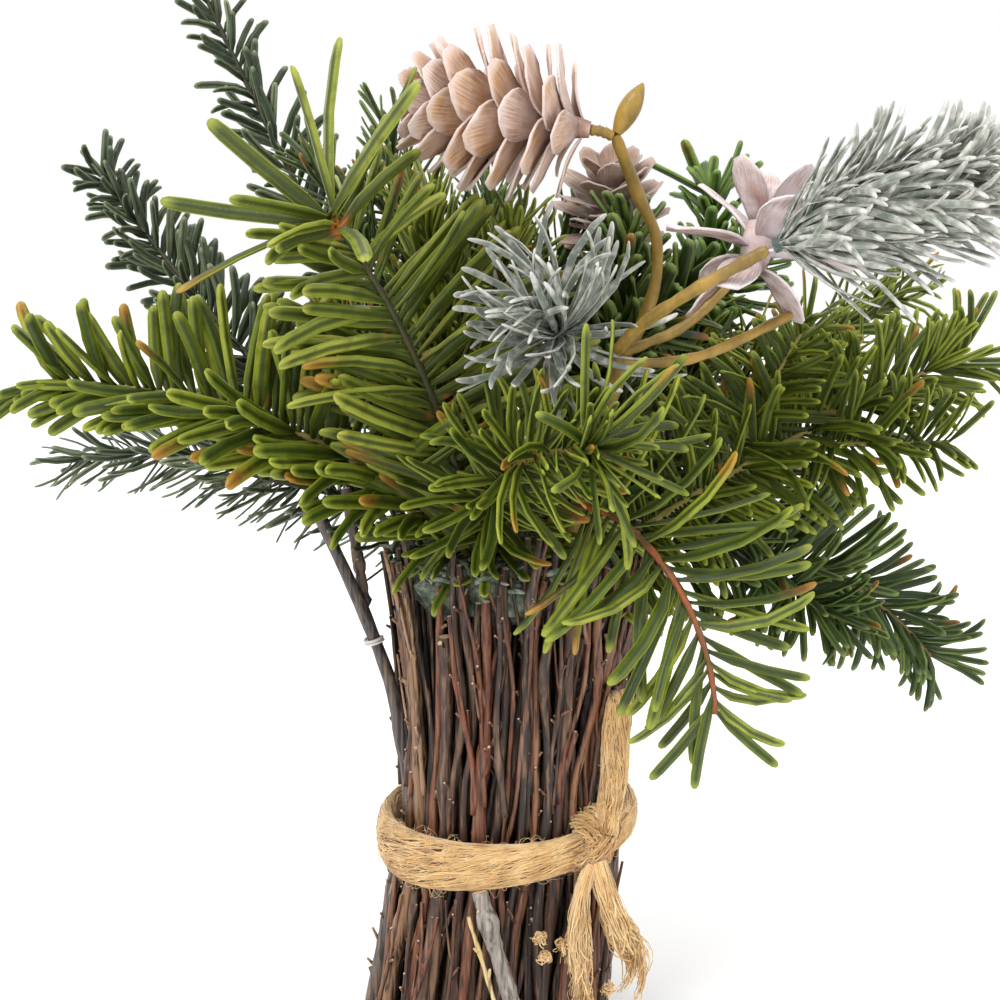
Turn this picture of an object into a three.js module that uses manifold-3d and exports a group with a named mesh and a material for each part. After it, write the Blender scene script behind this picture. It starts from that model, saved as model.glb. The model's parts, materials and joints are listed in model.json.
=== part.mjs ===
// A table bunch of cut twigs, tied round the waist with thick jute cord, that stands on its cut ends
// and holds fir sprays, pine cones and frosted plumes in its mouth. Millimetres, +Z up. The origin is
// on the surface that the cut ends stand on, under the middle of the waist. -Y is the front.
import * as THREE from "three";
import { mergeVertices } from "three/addons/utils/BufferGeometryUtils.js";
import Module from "manifold-3d";

const wasm = await Module();
wasm.setup();

// ---- Driving dimensions ----
const GAP = 0.35; // clearance between touching pieces
const SLIVER = 0.04; // finer detail than this is smoothed away after a cut
const FOOT_R = 28.7; // outside radius of the twigs where they stand
const WAIST_R = 25.6; // outside radius just above the cord
const MOUTH_R = 34.5; // outside radius at the twigs' tops
const WAIST_Z = 52;
const MOUTH_Z = 117;
const PINCH = 1; // how far the cord is pulled into the twigs
const PINCH_SPAN = 8; // half the height over which they give way to it
const FOOT_SHIFT = -5.5; // the foot sits this far left of the waist, and the mouth to the right of it
const MOUTH_SHIFT = 2.5;
const TWIG_LAYER = 4.4; // thickness of the outer layer of twigs
const RIDGE_INSET = 1.4; // how far inside the outline the packed twigs reach between the outer ones
const RING_TWIGS = 17; // places for outer twigs that are pieces of their own
const FORKED_PLACE = 9; // the one that the forked twig takes
const FORKED_R = 1.8;
const MOSS_TOP = 108;
const ROOT_Z = 100; // how deep the stems reach into the moss
const CORD_R = 3.9; // half the height of the jute cord as it lies round the bunch
const CORD_FLAT = 2; // half its thickness there, where it is pressed flat
const CORD_Z = 45.5; // middle of the wrap
const CORD_TILT = 3; // how much higher it is at the rear right, and lower at the front left
const KNEES = [0, 20, 36, 45.5, 55, 74, 95]; // heights where the twigs bend: in to the cord and out again
const PACKED_TOP = KNEES.at(-1); // top of the packed twigs in the middle
const KNOT_BEARING = -48;

const COLOURS = {
  bark: 0x4a3734,
  darkBark: 0x2f2a2c,
  greyBark: 0x8a8078,
  moss: 0x6d7460,
  jute: 0xc99a5b,
  needle: 0x4f7428,
  cone: 0xa98f80,
  frost: 0x9aa9ab,
  ochre: 0xa9791f,
  wire: 0xd8d4cc,
};

// ---- Small helpers ----
const V = (x, y, z) => new THREE.Vector3(x, y, z);
const rad = THREE.MathUtils.degToRad;
const lerp = THREE.MathUtils.lerp;
const smooth = (t) => THREE.MathUtils.smoothstep(t, 0, 1);

/** A fixed number from -1 to 1 that looks random over the pieces n, so that the bunch never changes. */
const vary = (n, k) => Math.sin(n * 127.1 + k * 311.7);

/** The direction at this bearing from +X and this rise above level, in degrees. */
function heading(bearing, rise) {
  const level = Math.cos(rad(rise));
  return V(level * Math.cos(rad(bearing)), level * Math.sin(rad(bearing)), Math.sin(rad(rise)));
}

/** A closed three.js geometry as a solid. */
function solidOf(geometry) {
  const bare = geometry.clone();
  for (const name of ["normal", "uv"]) bare.deleteAttribute(name);
  const merged = mergeVertices(bare, 1e-4);
  return new wasm.Manifold(
    new wasm.Mesh({
      numProp: 3,
      vertProperties: new Float32Array(merged.attributes.position.array),
      triVerts: new Uint32Array(merged.index.array),
    }),
  );
}

/** A solid as a three.js geometry. */
function geometryOf(solid) {
  const mesh = solid.getMesh();
  const geometry = new THREE.BufferGeometry();
  geometry.setAttribute("position", new THREE.BufferAttribute(mesh.vertProperties, 3));
  geometry.setIndex(new THREE.BufferAttribute(mesh.triVerts, 1));
  geometry.computeVertexNormals();
  return geometry;
}

/** The biggest of a solid's separate bodies. */
function biggest(solid) {
  return solid.decompose().sort((a, b) => b.volume() - a.volume())[0];
}

/** A solid with each of these cutters taken away, as one body with no slivers. */
function carve(solid, cutters) {
  return biggest(cutters.reduce((rest, cutter) => rest.subtract(cutter), solid).simplify(SLIVER));
}

/**
 * A cylinder bent along a curve. wide(t) and thick(t) are its half sizes at t from 0 to 1, and its
 * flat side faces the given direction as nearly as the curve allows.
 */
function bent(curve, { wide, thick = wide, face = V(0, 0, 1), sides = 6, steps = 8, grow = 0 }) {
  const geometry = new THREE.CylinderGeometry(1, 1, 1, sides, steps);
  const at = geometry.attributes.position;
  const p = V();
  for (let i = 0; i < at.count; i++) {
    p.fromBufferAttribute(at, i);
    const t = THREE.MathUtils.clamp(p.y + 0.5, 0, 1);
    const along = curve.getTangent(t);
    const side = V().crossVectors(along, face).normalize();
    const out = V().crossVectors(side, along).normalize();
    const place = curve.getPoint(t);
    if (grow && (t === 0 || t === 1)) place.addScaledVector(along, t === 0 ? -grow : grow);
    place.addScaledVector(side, p.x * (wide(t) + grow));
    place.addScaledVector(out, p.z * (thick(t) + grow));
    at.setXYZ(i, place.x, place.y, place.z);
  }
  return solidOf(geometry);
}

/** A solid turned on an axis from start to end: radius(t) is its radius at t from 0 to 1. */
function turned(start, end, radius, { rows, sides = 12, grow = 0 }) {
  const length = start.distanceTo(end);
  const profile = [new THREE.Vector2(0, -grow)];
  for (let i = 0; i <= rows; i++)
    profile.push(new THREE.Vector2(radius(i / rows) + grow, lerp(-grow, length + grow, i / rows)));
  profile.push(new THREE.Vector2(0, length + grow));
  const geometry = new THREE.LatheGeometry(profile, sides);
  const up = V(0, 1, 0);
  const along = V().subVectors(end, start).normalize();
  geometry.applyQuaternion(new THREE.Quaternion().setFromUnitVectors(up, along));
  geometry.translate(start.x, start.y, start.z);
  return solidOf(geometry);
}

/** A round stem of one thickness through these points. */
function stemThrough(points, radius, { steps = 6, sides = 6, taper = 1, grow = 0 } = {}) {
  const curve = new THREE.CatmullRomCurve3(points);
  return bent(curve, { wide: (t) => radius * lerp(1, taper, t), face: V(0.3, 1, 0.2), steps, sides, grow });
}

// ---- The bunch's outline ----
/** Outside radius of the bunch at height z: it is drawn in at the waist, most under the cord. */
function bunchRadius(z) {
  const pinch = PINCH * Math.exp(-(((z - CORD_Z) / PINCH_SPAN) ** 2));
  if (z < WAIST_Z) return lerp(WAIST_R, FOOT_R, ((WAIST_Z - z) / WAIST_Z) ** 0.9) - pinch;
  return lerp(WAIST_R, MOUTH_R, ((z - WAIST_Z) / (MOUTH_Z - WAIST_Z)) ** 2) - pinch;
}

/** How far to the right the bunch's middle is at height z: it leans a little. */
function bunchShift(z) {
  if (z < WAIST_Z) return FOOT_SHIFT * (1 - z / WAIST_Z) ** 1.2;
  return MOUTH_SHIFT * Math.min(1, (z - WAIST_Z) / (MOUTH_Z - WAIST_Z));
}

/** A point at this bearing on the bunch, this far inside (or, if negative, outside) its outline. */
function onBunch(bearing, z, inset = 0) {
  const r = bunchRadius(z) - inset;
  return V(bunchShift(z) + r * Math.cos(rad(bearing)), r * Math.sin(rad(bearing)), z);
}

// ---- Twigs ----
/** One outer twig, from its cut end on the table up to height top, leaning round the bunch. */
function outerTwig(bearing, top, radius, lean, grow = 0) {
  const points = [...KNEES.slice(0, -1), top].map((z) => onBunch(bearing + lean * (z - WAIST_Z), z, radius + 0.3));
  const curve = new THREE.CatmullRomCurve3(points);
  const steps = KNEES.length - 1;
  const made = bent(curve, { wide: (t) => radius * lerp(1, 0.8, t), face: V(0.3, 1, 0), steps, grow });
  return flatFoot(made, grow);
}

/** Cuts a solid off level with the table, where its lower end slants through it. */
function flatFoot(solid, grow) {
  if (grow) return solid;
  const size = 40;
  const slab = new THREE.BoxGeometry(6 * size, 6 * size, size).translate(0, 0, -size / 2);
  return solid.subtract(solidOf(slab));
}

/** The outer twigs, spaced evenly round the bunch with small differences. */
function ringTwigs() {
  const twigs = [];
  for (let i = 0; i < RING_TWIGS; i++) {
    if (i === FORKED_PLACE) continue;
    const bearing = (360 / RING_TWIGS) * i + 1.1 * vary(i, 1);
    const top = 105 + 12 * vary(i, 2);
    const radius = 1.6 + 0.25 * vary(i, 3);
    const lean = 0.014 * vary(i, 4);
    const name = "twig_" + String(i + 1).padStart(2, "0");
    twigs.push({ name, build: (grow) => outerTwig(bearing, top, radius, lean, grow), colour: "bark" });
  }
  return twigs;
}

/** A point in the groove of the forked twig at height z. */
const inForkedGroove = (z) => onBunch((360 / RING_TWIGS) * FORKED_PLACE, z, FORKED_R + 0.3);

/** The forked twig leaves its groove and leans out; the grey and the straw one stand against the foot. */
const LEANING_TWIGS = [
  {
    name: "forked_twig",
    colour: "darkBark",
    points: [...KNEES.slice(0, 5).map(inForkedGroove), V(-26, -5, 76), V(-32.5, -6, 95), V(-44, -7, 122)],
    radius: FORKED_R,
    taper: 0.8,
  },
  {
    name: "forked_twig_prong",
    colour: "darkBark",
    points: [V(-30.8, -2.6, 98), V(-33.4, -2.4, 108), V(-36.4, -2.4, 122)],
    radius: 1.3,
    taper: 0.8,
  },
  {
    name: "grey_twig",
    colour: "greyBark",
    points: [V(5.6, -32.6, 0), V(-0.4, -30.6, 17), V(-5.4, -29, 34)],
    radius: 1.8,
    taper: 0.95,
  },
  {
    name: "straw_twig",
    colour: "greyBark",
    points: [V(0.6, -32.8, 0), V(-3.8, -31, 16), V(-9, -29, 33)],
    radius: 0.7,
    taper: 0.9,
  },
];

/** The packed twigs behind and between the outer ones, fluted so that each outer twig has its groove. */
function packedTwigs() {
  const columns = 3 * RING_TWIGS; // two down each groove and one along each ridge
  const profile = [new THREE.Vector2(0, 0)];
  for (const z of KNEES) profile.push(new THREE.Vector2(bunchRadius(z) - TWIG_LAYER, z));
  profile.push(new THREE.Vector2(0, PACKED_TOP));
  const start = Math.PI / 2 - Math.PI / columns;
  const geometry = new THREE.LatheGeometry(profile, columns, start);
  const at = geometry.attributes.position;
  const ridge = TWIG_LAYER - RIDGE_INSET;
  for (let i = 0; i < at.count; i++) {
    const [x, z] = [at.getX(i), at.getZ(i)];
    const r = Math.hypot(x, z);
    const column = Math.floor(i / profile.length);
    if (column % 3 === 2 && r > 1) at.setXYZ(i, x * (1 + ridge / r), at.getY(i), z * (1 + ridge / r));
  }
  return solidOf(leaned(geometry));
}

/** Turns a lathe's axis from +Y to +Z and shifts each height with the bunch. */
function leaned(geometry) {
  geometry.rotateX(Math.PI / 2);
  const at = geometry.attributes.position;
  for (let i = 0; i < at.count; i++) at.setX(i, at.getX(i) + bunchShift(at.getZ(i)));
  return geometry;
}

/** The pad of moss and foam crumbs in the mouth that holds the stems. */
function mossPlug() {
  const low = PACKED_TOP + GAP;
  const profile = [
    new THREE.Vector2(0, low),
    new THREE.Vector2(bunchRadius(low) - TWIG_LAYER, low),
    new THREE.Vector2(bunchRadius(MOSS_TOP) - TWIG_LAYER - 1, MOSS_TOP - 3),
    new THREE.Vector2(bunchRadius(MOSS_TOP) - TWIG_LAYER - 5, MOSS_TOP),
    new THREE.Vector2(0, MOSS_TOP + 2),
  ];
  return solidOf(leaned(new THREE.LatheGeometry(profile, 14)));
}

// ---- Fir sprays ----
// Each stem starts at its root [x, y] in the moss, and turns evenly from its first [bearing, rise] to
// its last over its length. The needles' flat side faces `face`.
const SPRAYS = {
  rear_left_tall: {
    root: [-4, 9], from: [139, 57], to: [187, 66],
    length: 151, needle: 15, face: [0, -1, 0.2],
  },
  front_left_tall: {
    root: [-6, -13], from: [-123, 77], to: [-124, 39],
    length: 99, needle: 34, face: [0.2, -1, 0.5],
  },
  left_long: {
    root: [-4, -7], from: [-142, 54], to: [-176, 1],
    length: 110, needle: 25, face: [0.1, -1, 0.5],
  },
  left_rear: {
    root: [-9, 6], from: [163, 39], to: [166, 52],
    length: 127, needle: 19, face: [0, -1, 0.6],
  },
  left_low: {
    root: [-9, 0], from: [161, 40], to: [166, -12],
    length: 104, needle: 18, face: [0, -0.6, 1],
  },
  front_centre: {
    root: [1, -6], from: [-121, 56], to: [-37, 7],
    length: 78, needle: 26, face: [0, -0.4, 1],
  },
  right_hanging: {
    root: [5, -10], from: [-82, 71], to: [-36, -88],
    length: 100, needle: 30, face: [0.3, -1, 0.1],
  },
  right_long: {
    root: [10, -4], from: [-16, 38], to: [4, 24],
    length: 102, needle: 24, face: [0, -1, 0.5],
  },
  right_low: {
    root: [11, 1.5], from: [15, 26], to: [2, -52],
    length: 98, needle: 22, face: [-0.1, -1, 0.6],
  },
  right_rear_tall: {
    root: [19, 9], from: [14, 46], to: [83, 86],
    length: 96, needle: 18, face: [0, -1, 0.1],
  },
  middle_rear: {
    root: [1, 6], from: [102, 69], to: [97, 72],
    length: 90, needle: 20, face: [0, -1, 0],
  },
  rear_left_short: {
    root: [-13, 12], from: [160, 80], to: [110, 76],
    length: 103, needle: 18, face: [0.3, -1, 0],
  },
  middle_tall: {
    root: [-3, -1.5], from: [-165, 76], to: [-133, 80],
    length: 84, needle: 22, face: [-0.3, -1, 0.2],
  },
  right_tall: {
    root: [7, 5.5], from: [12, 50], to: [4, 25],
    length: 104, needle: 22, face: [0, -0.7, 0.8],
  },
  right_middle: {
    root: [15, -10], from: [30, 75], to: [70, 82],
    length: 80, needle: 20, face: [0, -1, 0],
  },
  rear_low: {
    root: [2, 17], from: [90, 48], to: [92, -30],
    length: 88, needle: 24, face: [0, 0.6, 1],
  },
  rear_right: {
    root: [11, 15], from: [62, 48], to: [48, 8],
    length: 88, needle: 24, face: [0, 0.5, 1],
  },
  rear_left: {
    root: [-7, 17], from: [122, 46], to: [130, 4],
    length: 88, needle: 24, face: [0, 0.5, 1],
  },
};
const SPRAY_STEM_R = 1.4;
const BARE_SHARE = 0.23; // the part of a spray's stem that carries no needles
const NEEDLE_SPREAD = 0.8; // how far a needle reaches sideways, as a share of its length
const NEEDLE_AHEAD = 0.6; // and beyond the stem's tip
const SPRAY_THICK = 3.2;

/** The line of a spray's stem, and of the needles' reach beyond its tip. */
function sprayLine(spray, beyond) {
  const steps = 12;
  const [a, b] = [spray.from, spray.to];
  const points = [V(...spray.root, ROOT_Z)];
  for (let i = 0; i < steps; i++) {
    const t = (i + 0.5) / steps;
    const step = heading(lerp(a[0], b[0], t), lerp(a[1], b[1], t));
    points.push(points.at(-1).clone().addScaledVector(step, spray.length / steps));
  }
  if (beyond) points.push(points.at(-1).clone().addScaledVector(heading(...b), beyond));
  return new THREE.CatmullRomCurve3(points);
}

/** A spray's bare stem, from the moss to its tip. */
function sprayStem(spray, grow = 0) {
  const face = V(...spray.face);
  return bent(sprayLine(spray, 0), { wide: () => SPRAY_STEM_R, face, sides: 4, steps: 8, grow });
}

/** The flat fan that a spray's needles fill, out to their tips. */
function sprayFan(spray, grow = 0) {
  const start = BARE_SHARE;
  const reach = NEEDLE_SPREAD * spray.needle;
  const fullness = (t) => {
    const u = THREE.MathUtils.clamp((t - start) / (1 - start), 0, 1);
    return smooth(Math.min(1, u / 0.35)) * Math.sqrt(1 - 0.97 * u ** 3);
  };
  return bent(sprayLine(spray, NEEDLE_AHEAD * spray.needle), {
    wide: (t) => lerp(SPRAY_STEM_R, reach, fullness(t)),
    thick: (t) => lerp(SPRAY_STEM_R, SPRAY_THICK, fullness(t)),
    face: V(...spray.face),
    sides: 4,
    steps: 8,
    grow,
  });
}

// ---- Cones, plumes and their ochre stems ----
/** Rows of open scales on a cone: each row flares out and drops back to the next. */
const scaleRows = (rows, widest) => (t) => {
  const body = Math.sin(Math.PI * (0.12 + 0.8 * t)) ** 0.7;
  const flare = 1 - ((t * rows) % 1) * 0.35;
  return widest * body * flare;
};

const CONES = {
  front_cone: { base: V(15.5, -38, 199), tip: V(-22, -35, 205), widest: 17.5, rows: 12 },
  rear_cone: { base: V(24, 19, 172), tip: V(22, 13, 194), widest: 11, rows: 10 },
  lilac_cone: { base: V(47.6, -41, 175.4), tip: V(61, -27, 188), widest: 14, rows: 8 },
};

const PLUMES = {
  frosted_star: { base: V(10, -36, 158), tip: V(4, -58, 169), widest: 19, rows: 7 },
  frosted_plume: { base: V(49, -59.5, 177), tip: V(93, -70, 193), widest: 17, rows: 8 },
};

/** An outline that swells and closes again. */
const swell = (widest) => (t) => widest * Math.sin(Math.PI * (0.06 + 0.9 * t)) ** 0.8;

const OCHRE_STEMS = {
  front_cone_stem: {
    points: [
      V(4.5, -0.5, ROOT_Z),
      V(14, -3, 130),
      V(28, -16, 160),
      V(30.4, -20.5, 175.5),
      V(25.4, -28.8, 187),
      V(20.6, -36.6, 197.4),
    ],
    radius: 1.6,
    steps: 12,
  },
  front_cone_stalk: {
    points: [V(18.5, -37.4, 198.5), V(17.2, -37.7, 198.8), V(15.9, -38, 199)],
    radius: 1.2,
    steps: 2,
  },
  rear_cone_stem: { points: [V(12.5, 9.5, ROOT_Z), V(20, 17, 135), V(24, 19.5, 171)], radius: 1.5 },
  star_stem: { points: [V(-0.5, -13.5, ROOT_Z), V(2, -22.5, 132), V(10.3, -34.5, 157.6)], radius: 1.5 },
  pick_stalk: {
    points: [V(9.5, -13, ROOT_Z), V(16, -24, 128), V(20.4, -40, 149), V(21, -43.6, 155)],
    radius: 2,
  },
  plume_stem: { points: [V(22.6, -46.2, 158), V(33, -54, 167), V(48, -59, 176.4)], radius: 1.5 },
  lilac_cone_stem: {
    points: [V(24.4, -43.4, 157.6), V(33, -43.5, 160.5), V(46.9, -41.5, 174.7)],
    radius: 1.3,
  },
  low_stem: { points: [V(23.6, -43.6, 153.5), V(37, -43, 154.8), V(54, -37.5, 161.5)], radius: 1.3 },
};

/** The bud beside the front cone: a pointed, swollen tip. */
function bud() {
  return turned(V(21.5, -37, 199.8), V(25.9, -36.8, 208), swell(2.1), { rows: 5, sides: 8 });
}

// ---- Jute tie ----
const KNOT = onBunch(KNOT_BEARING, CORD_Z + 1.5, -CORD_R - 0.4);

/** The wrap round the waist: flat and broad at the front left, round where it nears the knot. */
function cordWrap() {
  const opening = 26; // the knot fills this part of the turn
  const from = KNOT_BEARING + opening / 2;
  const points = [];
  const stops = 24;
  for (let i = 0; i <= stops; i++) {
    const bearing = from + ((360 - opening) * i) / stops;
    points.push(onBunch(bearing, CORD_Z + CORD_TILT * Math.cos(rad(bearing - 32)), -CORD_FLAT - 0.5));
  }
  const curve = new THREE.CatmullRomCurve3(points);
  const broad = (t) => 1 + 0.5 * Math.sin(Math.PI * THREE.MathUtils.clamp((t - 0.45) / 0.5, 0, 1));
  return bent(curve, {
    wide: () => CORD_FLAT,
    thick: (t) => CORD_R * broad(t),
    face: V(0, 0, 1),
    sides: 8,
    steps: 30,
  });
}

/** The knot, a rounded lump. */
function cordKnot() {
  const ball = new THREE.IcosahedronGeometry(1, 2).scale(6.2, 4, 7.4).rotateZ(rad(42));
  return solidOf(ball.translate(KNOT.x, KNOT.y, KNOT.z));
}

/** The knot a little larger, to leave its clearance in what meets it. */
function largerKnot() {
  const centre = [KNOT.x, KNOT.y, KNOT.z];
  return cordKnot().translate(centre.map((c) => -c)).scale(1.09).translate(centre);
}

/** Loose ends of the cord: the loop stands up against the twigs, and the frayed tails hang. */
const CORD_ENDS = {
  cord_loop: {
    points: [onBunch(-40, 56, -3.2), onBunch(-40, 66, -3.2), onBunch(-41, 80, -3.4)],
    start: 3,
    end: 3.2,
  },
  frayed_tail_front: {
    points: [onBunch(-57, 38.5, -3.2), onBunch(-56, 22, -3), onBunch(-55, 6, -3.4)],
    start: 2.6,
    end: 3.8,
  },
  frayed_tail_side: {
    points: [onBunch(-42, 38.5, -3.6), onBunch(-39, 24, -3.8), onBunch(-38, 9, -3.8)],
    start: 2.8,
    end: 4.4,
  },
};

/** One loose end, wider towards its cut or frayed tip. */
function cordEnd({ points, start, end }) {
  return bent(new THREE.CatmullRomCurve3(points), {
    wide: (t) => lerp(start, end, t),
    thick: (t) => lerp(start, end, t) * 0.72,
    face: V(0.7, -1, 0),
    sides: 8,
    steps: 6,
  });
}

/** The pale wire that holds the forked twig, a ring round it just under its fork. */
function wireTie() {
  const line = new THREE.CatmullRomCurve3(LEANING_TWIGS[0].points);
  const at = 0.8;
  const ring = new THREE.TorusGeometry(FORKED_R + 0.75, 0.45, 6, 14);
  ring.applyQuaternion(new THREE.Quaternion().setFromUnitVectors(V(0, 0, 1), line.getTangent(at)));
  return solidOf(ring.translate(...line.getPoint(at)));
}

// ---- Assembly ----
const group = new THREE.Group();

/** Adds a finished solid as a named mesh. */
function add(name, solid, colour, roughness = 0.75) {
  const material = new THREE.MeshStandardMaterial({ color: COLOURS[colour], roughness, metalness: 0 });
  const mesh = new THREE.Mesh(geometryOf(solid), material);
  mesh.name = name;
  group.add(mesh);
}

const sprays = Object.entries(SPRAYS).map(([name, spec]) => ({ name: "fir_spray_" + name, spec }));
const firStems = sprays.map(({ spec }) => ({ raw: sprayStem(spec), grown: sprayStem(spec, GAP) }));
const ochreStems = Object.entries(OCHRE_STEMS).map(([name, { points, radius, steps }]) => ({
  name,
  raw: stemThrough(points, radius, { steps }),
  grown: stemThrough(points, radius, { steps, grow: GAP }),
}));
const grownStems = [...firStems, ...ochreStems].map((stem) => stem.grown);

// Jute tie
const tie = { cord_wrap: cordWrap(), cord_knot: cordKnot() };
for (const [name, spec] of Object.entries(CORD_ENDS)) tie[name] = cordEnd(spec);
for (const name of ["cord_wrap", ...Object.keys(CORD_ENDS)]) tie[name] = carve(tie[name], [largerKnot()]);
for (const [name, solid] of Object.entries(tie)) add(name, solid, "jute", 0.95);
add("wire_tie", wireTie(), "wire", 0.4);

// Twigs
const twigs = ringTwigs();
for (const { name, colour, points, radius, taper } of LEANING_TWIGS) {
  const build = (grow) => flatFoot(stemThrough(points, radius, { taper, grow, steps: 8 }), grow);
  twigs.push({ name, colour, build });
}
const grownTwigs = [];
for (const { name, colour, build } of twigs) {
  add(name, carve(build(0), grownStems), colour);
  grownTwigs.push(build(GAP));
}
add("packed_twigs", packedTwigs(), "bark");
add("moss_plug", carve(mossPlug(), [...grownStems, ...grownTwigs]), "moss", 1);

// Cones, plumes and stems
const tops = [];
/** Queues a cone or a plume: outline(t) is its radius at t from its base to its tip. */
function addTop(name, colour, { base, tip, rows }, outline) {
  tops.push({ name, colour, build: (grow) => turned(base, tip, outline, { rows, grow }) });
}
for (const [name, cone] of Object.entries(CONES))
  addTop(name, "cone", cone, scaleRows(cone.rows / 2, cone.widest));
for (const [name, plume] of Object.entries(PLUMES)) addTop(name, "frost", plume, swell(plume.widest));
const grownTops = tops.map(({ build }) => build(GAP));
const ochreGrown = ochreStems.map((stem) => stem.grown);
tops.forEach(({ name, colour, build }, i) => {
  add(name, carve(build(0), [...ochreGrown, ...grownTops.slice(0, i)]), colour);
});
for (const { name, raw } of ochreStems) add(name, raw, "ochre", 0.5);
add("bud", bud(), "ochre", 0.5);

// Fir sprays: where two fans cross, the later one gives way, and each keeps its own stem whole.
const grownFans = sprays.map(({ spec }) => sprayFan(spec, GAP));
const neighbours = [...grownTops, ...grownTwigs, ...ochreGrown];
sprays.forEach(({ name, spec }, i) => {
  const otherStems = firStems.filter((_, k) => k !== i).map((stem) => stem.grown);
  const cutters = [...neighbours, ...grownFans.slice(0, i), ...otherStems];
  add(name, carve(sprayFan(spec).add(firStems[i].raw), cutters), "needle", 0.6);
});

export default group;
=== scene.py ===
"""A tied bunch of cut twigs with fir sprays, pine cones and frosted plumes in its mouth.

The twigs are bound at the waist with thick jute cord and stand on their cut ends. Sizes here are in
millimetres and headings in degrees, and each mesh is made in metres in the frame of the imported
model. The front of the bunch faces -Y.
"""

import json
import logging
import math
import random
from collections.abc import Callable, Sequence
from dataclasses import dataclass, field
from enum import Enum
from typing import ClassVar

import bpy
import numpy as np
from mathutils import Matrix, Vector

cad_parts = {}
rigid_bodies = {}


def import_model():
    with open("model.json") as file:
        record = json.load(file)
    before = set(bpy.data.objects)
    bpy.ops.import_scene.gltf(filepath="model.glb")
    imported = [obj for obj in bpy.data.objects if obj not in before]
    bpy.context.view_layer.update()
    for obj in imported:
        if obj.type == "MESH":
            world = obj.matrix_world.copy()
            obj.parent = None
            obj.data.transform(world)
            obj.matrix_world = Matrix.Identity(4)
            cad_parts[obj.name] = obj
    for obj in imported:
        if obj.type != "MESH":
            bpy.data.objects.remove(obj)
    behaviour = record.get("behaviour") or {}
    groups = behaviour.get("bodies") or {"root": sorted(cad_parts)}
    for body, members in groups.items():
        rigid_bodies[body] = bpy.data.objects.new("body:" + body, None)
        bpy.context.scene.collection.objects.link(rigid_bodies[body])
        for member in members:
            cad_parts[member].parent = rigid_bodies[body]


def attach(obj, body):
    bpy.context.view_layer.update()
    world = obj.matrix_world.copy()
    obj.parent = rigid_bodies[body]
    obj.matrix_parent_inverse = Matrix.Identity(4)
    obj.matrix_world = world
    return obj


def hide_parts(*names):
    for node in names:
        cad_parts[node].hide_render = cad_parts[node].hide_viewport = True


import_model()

LOG = logging.getLogger("bunch")
MM = 0.001
Array = np.ndarray
Point = tuple[float, float, float]
Colour = tuple[float, float, float]
Stops = tuple[tuple[float, Colour], ...]
Route = Sequence[Point]
Socket = bpy.types.NodeSocket

# The turn from one leaf to the next round a stem, in radians
LEAF_TURN = 2.39996
FULL_TURN = 2 * math.pi

# The bunch's outline, as in the frame
FOOT_R, WAIST_R, MOUTH_R = 28.7, 25.6, 34.5
WAIST_Z, MOUTH_Z = 52.0, 117.0
FOOT_SHIFT, MOUTH_SHIFT = -5.5, 2.5
PINCH, PINCH_SPAN = 1.0, 8.0
RING_TWIGS, FORKED_PLACE, FORKED_R = 17, 9, 1.8
ROOT_Z = 100.0
CORD_R, CORD_FLAT, CORD_Z, CORD_TILT = 3.9, 2.1, 45.5, 3.0
KNOT_BEARING = -48.0


# ---------------------------------------------------------------- plain geometry


def wave(n: float, k: float) -> float:
    """A fixed number from -1 to 1 that looks random over n, as the frame's outer twigs have it."""
    return math.sin(n * 127.1 + k * 311.7)


def heading(bearing: float, rise: float) -> Array:
    """The direction at this bearing from +X and this rise above level."""
    b, r = math.radians(bearing), math.radians(rise)
    return np.array([math.cos(b) * math.cos(r), math.sin(b) * math.cos(r), math.sin(r)])


def unit(v: Array) -> Array:
    """v, or each row of it, at length 1."""
    return v / np.maximum(np.linalg.norm(v, axis=-1, keepdims=True), 1e-9)


def bunch_radius(z: float) -> float:
    """Outside radius of the bunch at height z: it is drawn in at the waist, most under the cord."""
    pinch = PINCH * math.exp(-(((z - CORD_Z) / PINCH_SPAN) ** 2))
    if z < WAIST_Z:
        return WAIST_R + (FOOT_R - WAIST_R) * ((WAIST_Z - z) / WAIST_Z) ** 0.9 - pinch
    return WAIST_R + (MOUTH_R - WAIST_R) * ((z - WAIST_Z) / (MOUTH_Z - WAIST_Z)) ** 2 - pinch


def bunch_shift(z: float) -> float:
    """How far the bunch's middle is to the right at height z."""
    if z < WAIST_Z:
        return FOOT_SHIFT * (1 - z / WAIST_Z) ** 1.2
    return MOUTH_SHIFT * min(1.0, (z - WAIST_Z) / (MOUTH_Z - WAIST_Z))


def on_bunch(bearing: float, z: float, inset: float = 0.0) -> tuple[float, float, float]:
    """A point at this bearing on the bunch, this far inside its outline (outside if negative)."""
    r, b = bunch_radius(z) - inset, math.radians(bearing)
    return (bunch_shift(z) + r * math.cos(b), r * math.sin(b), z)


def smooth_route(route: Route, count: int) -> Array:
    """Evenly spaced points on a smooth curve through a route.

    Args:
        route: The points that the curve passes through.
        count: How many points to return.

    Returns:
        The points, one to a row.
    """
    p = np.array(route, float)
    if len(p) == 2:
        return p[0] + (p[1] - p[0]) * np.linspace(0, 1, count)[:, None]
    p = np.vstack([2 * p[0] - p[1], p, 2 * p[-1] - p[-2]])
    fine = []
    for i in range(1, len(p) - 2):
        for t in np.linspace(0, 1, 16, endpoint=False):
            a, b, c, d = p[i - 1], p[i], p[i + 1], p[i + 2]
            fine.append(
                0.5 * (2 * b + (c - a) * t + (2 * a - 5 * b + 4 * c - d) * t**2
                       + (3 * b - 3 * c + d - a) * t**3)
            )
    fine.append(p[-2])
    fine = np.array(fine)
    run = np.concatenate([[0], np.cumsum(np.linalg.norm(np.diff(fine, axis=0), axis=1))])
    at = np.linspace(0, run[-1], count)
    return np.stack([np.interp(at, run, fine[:, k]) for k in range(3)], axis=1)


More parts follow.
